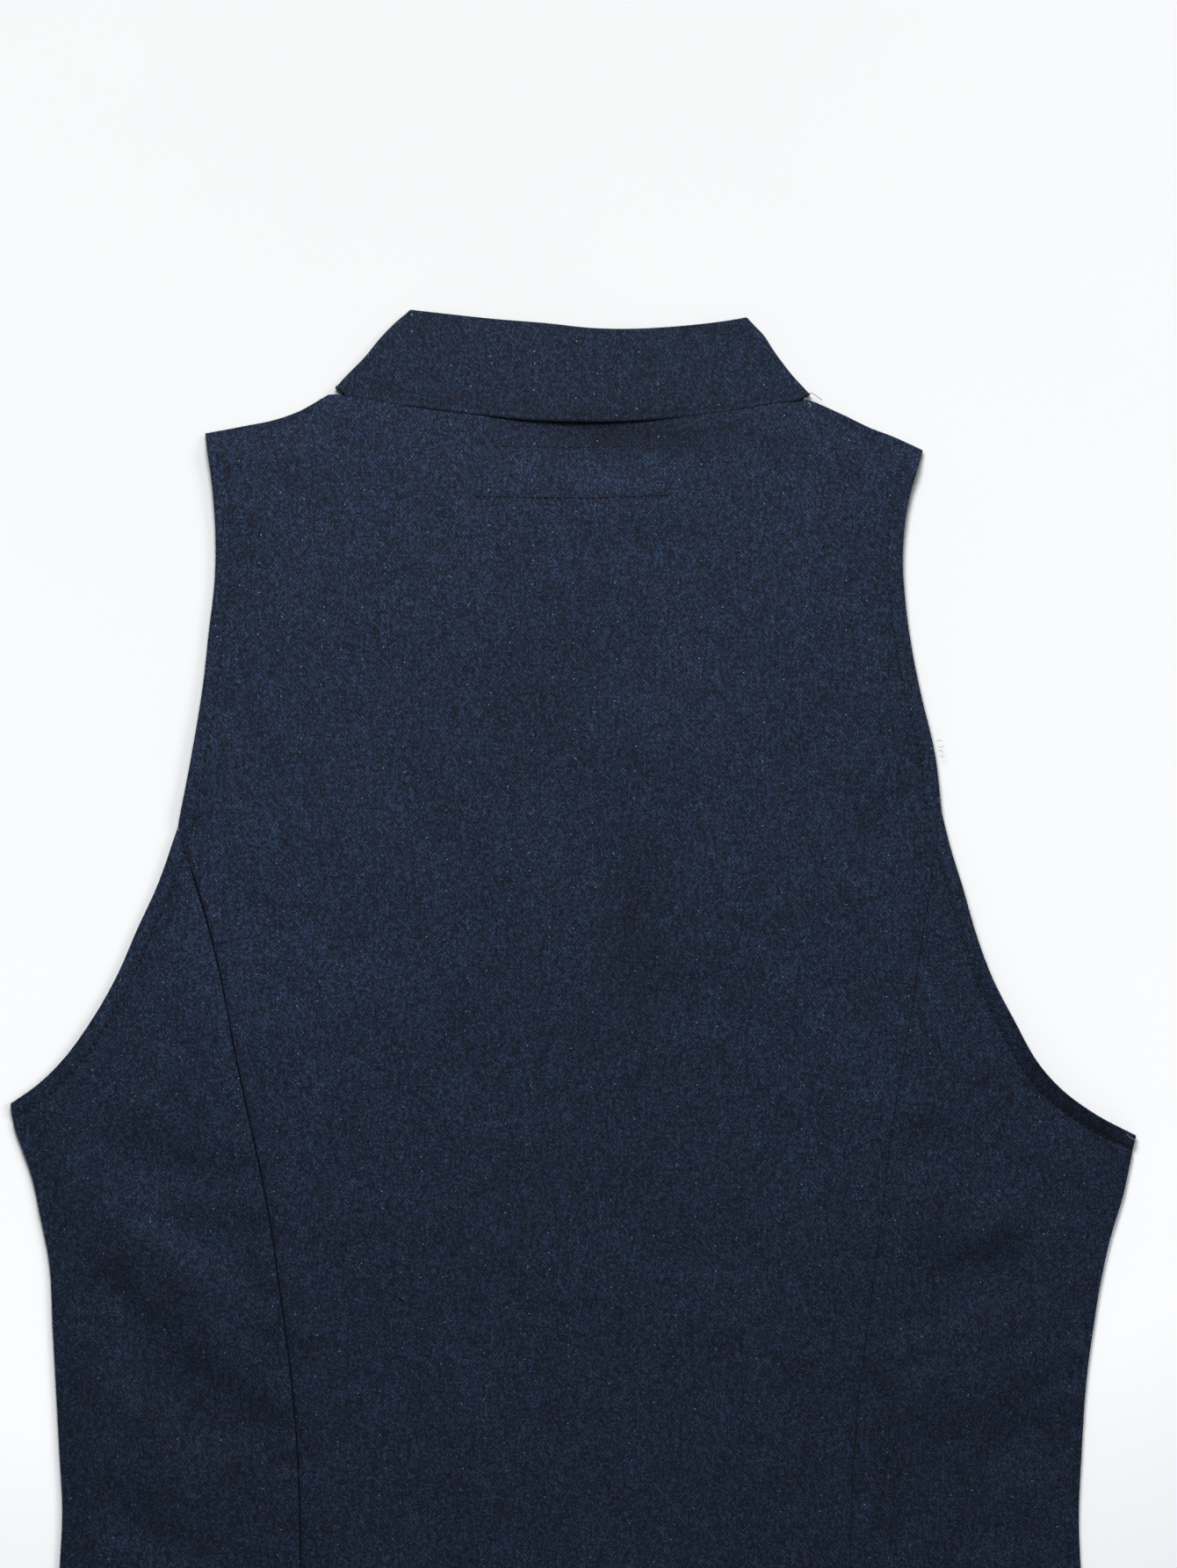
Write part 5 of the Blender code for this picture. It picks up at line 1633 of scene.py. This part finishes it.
class WAISTCOAT_OT_front_panels(bpy.types.Operator):
    """Make the two fronts that lie on the table"""

    bl_idname = "waistcoat.front_panels"
    bl_label = "Front Panels"

    def execute(self, context):
        for side in ("left", "right"):
            piece, plan = make_front(side)
            flat, area = cut_size(plan)
            declare_cloth("front_" + side, area)
        return {"FINISHED"}


class WAISTCOAT_OT_collar(bpy.types.Operator):
    """Make the stand collar"""

    bl_idname = "waistcoat.collar"
    bl_label = "Collar"

    def execute(self, context):
        piece, round_length, height = make_collar()
        flat = (round_length * MM, height * MM)
        declare_cloth("collar", flat[0] * flat[1])
        return {"FINISHED"}


class WAISTCOAT_OT_buttons(bpy.types.Operator):
    """Make the six buttons, their threads and the worked buttonholes"""

    bl_idname = "waistcoat.buttons"
    bl_label = "Buttons"

    def execute(self, context):
        sewing = context.scene.waistcoat_sewing
        finish = thread_finish("navy_thread_with_groove_shade", tuple(sewing.thread_colour_with_groove_shade))
        for k in range(BUTTON_COUNT):
            make_button(k, button_finish())
        make_button_threads(finish)
        make_buttonholes(sewing.thread_thickness / MM * 1.25, finish)
        return {"FINISHED"}


class WAISTCOAT_OT_topstitching(bpy.types.Operator):
    """Sew the turned armhole and hem edges, the front edges and the collar's lower edge"""

    bl_idname = "waistcoat.topstitching"
    bl_label = "Topstitching"

    def execute(self, context):
        sewing = context.scene.waistcoat_sewing
        # the thread's colour carries painted shade of the stitched grooves
        finish = thread_finish("navy_thread_with_groove_shade", tuple(sewing.thread_colour_with_groove_shade))
        make_topstitching(sewing.stitch_pitch / MM, sewing.thread_thickness / MM, finish)
        return {"FINISHED"}


class WAISTCOAT_OT_label_stitching(bpy.types.Operator):
    """Sew the rows that show on the outside where a label is held on the inside of the neck"""

    bl_idname = "waistcoat.label_stitching"
    bl_label = "Label Stitching"

    def execute(self, context):
        thickness = context.scene.waistcoat_sewing.thread_thickness / MM * 1.6
        make_label_stitching(thickness, thread_finish("black_thread", BLACK_THREAD))
        return {"FINISHED"}


class WAISTCOAT_OT_loose_threads(bpy.types.Operator):
    """Leave the loose thread ends, frayed bits and fuzz of a used garment"""

    bl_idname = "waistcoat.loose_threads"
    bl_label = "Loose Threads"

    def execute(self, context):
        dark = thread_finish("black_thread", BLACK_THREAD)
        pale = thread_finish("pale_fibre", (0.2, 0.23, 0.28), 0.85)
        navy = thread_finish("navy_fibre", (0.02, 0.03, 0.055), 0.85)
        make_loose_threads(dark, pale)
        make_fuzz(navy, pale)
        return {"FINISHED"}


class WAISTCOAT_OT_stage(bpy.types.Operator):
    """Set the pale table, the soft light from the top right and the camera straight above"""

    bl_idname = "waistcoat.stage"
    bl_label = "Stage"

    def execute(self, context):
        look = context.scene.waistcoat_stage
        data = bpy.data.meshes.new("table_top")
        data.from_pydata([(x * TABLE_HALF, y * TABLE_HALF, 0.0) for x, y in ((-1, -1), (1, -1), (1, 1), (-1, 1))], [],
                         [(0, 1, 2, 3)])
        data.materials.append(floor_finish(look))
        in_scene("table_top", data)
        lamp = bpy.data.lights.new("soft_lamp", "POINT")
        lamp.shadow_soft_size, lamp.energy = look.lamp_radius, look.lamp_power
        in_scene("soft_lamp", lamp, location=look.lamp_place, visible_camera=False)
        far = bpy.data.lights.new("side_light", "SUN")
        far.angle, far.energy = math.radians(24.0), look.side_light
        in_scene("side_light", far, rotation_euler=Vector(SIDE_LIGHT_FROM).to_track_quat("Z", "Y").to_euler())
        world = bpy.data.worlds.new("studio")
        world.use_nodes = True
        sky = world.node_tree.nodes["Background"]
        sky.inputs["Color"].default_value = SKY_COLOUR
        sky.inputs["Strength"].default_value = look.sky
        context.scene.world = world
        context.scene.view_settings.view_transform = "Standard"
        lens = bpy.data.cameras.new("camera")
        lens.lens, lens.sensor_width, lens.sensor_fit = 85.0, 36.0, "AUTO"
        context.scene.camera = in_scene("camera", lens, location=(*CAMERA_PLACE, look.camera_height))
        return {"FINISHED"}


STEPS = (WAISTCOAT_OT_stage, WAISTCOAT_OT_back_panels, WAISTCOAT_OT_front_panels, WAISTCOAT_OT_collar,
         WAISTCOAT_OT_buttons, WAISTCOAT_OT_topstitching, WAISTCOAT_OT_label_stitching, WAISTCOAT_OT_loose_threads)


class WAISTCOAT_PT_sidebar(bpy.types.Panel):
    """The waistcoat's pieces in the 3D view's sidebar"""

    bl_idname = "WAISTCOAT_PT_sidebar"
    bl_label = "Denim Waistcoat"
    bl_space_type = "VIEW_3D"
    bl_region_type = "UI"
    bl_category = "Waistcoat"

    def draw(self, context):
        scene = context.scene
        for group in (scene.waistcoat_cloth, scene.waistcoat_sewing, scene.waistcoat_buttons, scene.waistcoat_stage):
            for key in group.__annotations__:
                self.layout.prop(group, key)
        for step in STEPS:
            self.layout.operator(step.bl_idname)


GROUPS = {"waistcoat_cloth": WaistcoatCloth, "waistcoat_sewing": WaistcoatSewing,
          "waistcoat_buttons": WaistcoatButtons, "waistcoat_stage": WaistcoatStage}


def register():
    """Adds the sizes and colours, the steps and the sidebar."""
    for made in (*GROUPS.values(), *STEPS, WAISTCOAT_PT_sidebar):
        bpy.utils.register_class(made)
    for name, group in GROUPS.items():
        setattr(bpy.types.Scene, name, bpy.props.PointerProperty(type=group))


def unregister():
    """Takes them out again."""
    for name in GROUPS:
        delattr(bpy.types.Scene, name)
    for made in (WAISTCOAT_PT_sidebar, *STEPS[::-1], *list(GROUPS.values())[::-1]):
        bpy.utils.unregister_class(made)


def main():
    """Makes the whole garment on its table."""
    register()
    bpy.ops.waistcoat.stage()
    bpy.ops.waistcoat.back_panels()
    bpy.ops.waistcoat.front_panels()
    bpy.ops.waistcoat.collar()
    bpy.ops.waistcoat.buttons()
    bpy.ops.waistcoat.topstitching()
    bpy.ops.waistcoat.label_stitching()
    bpy.ops.waistcoat.loose_threads()


if __name__ == "__main__":
    main()
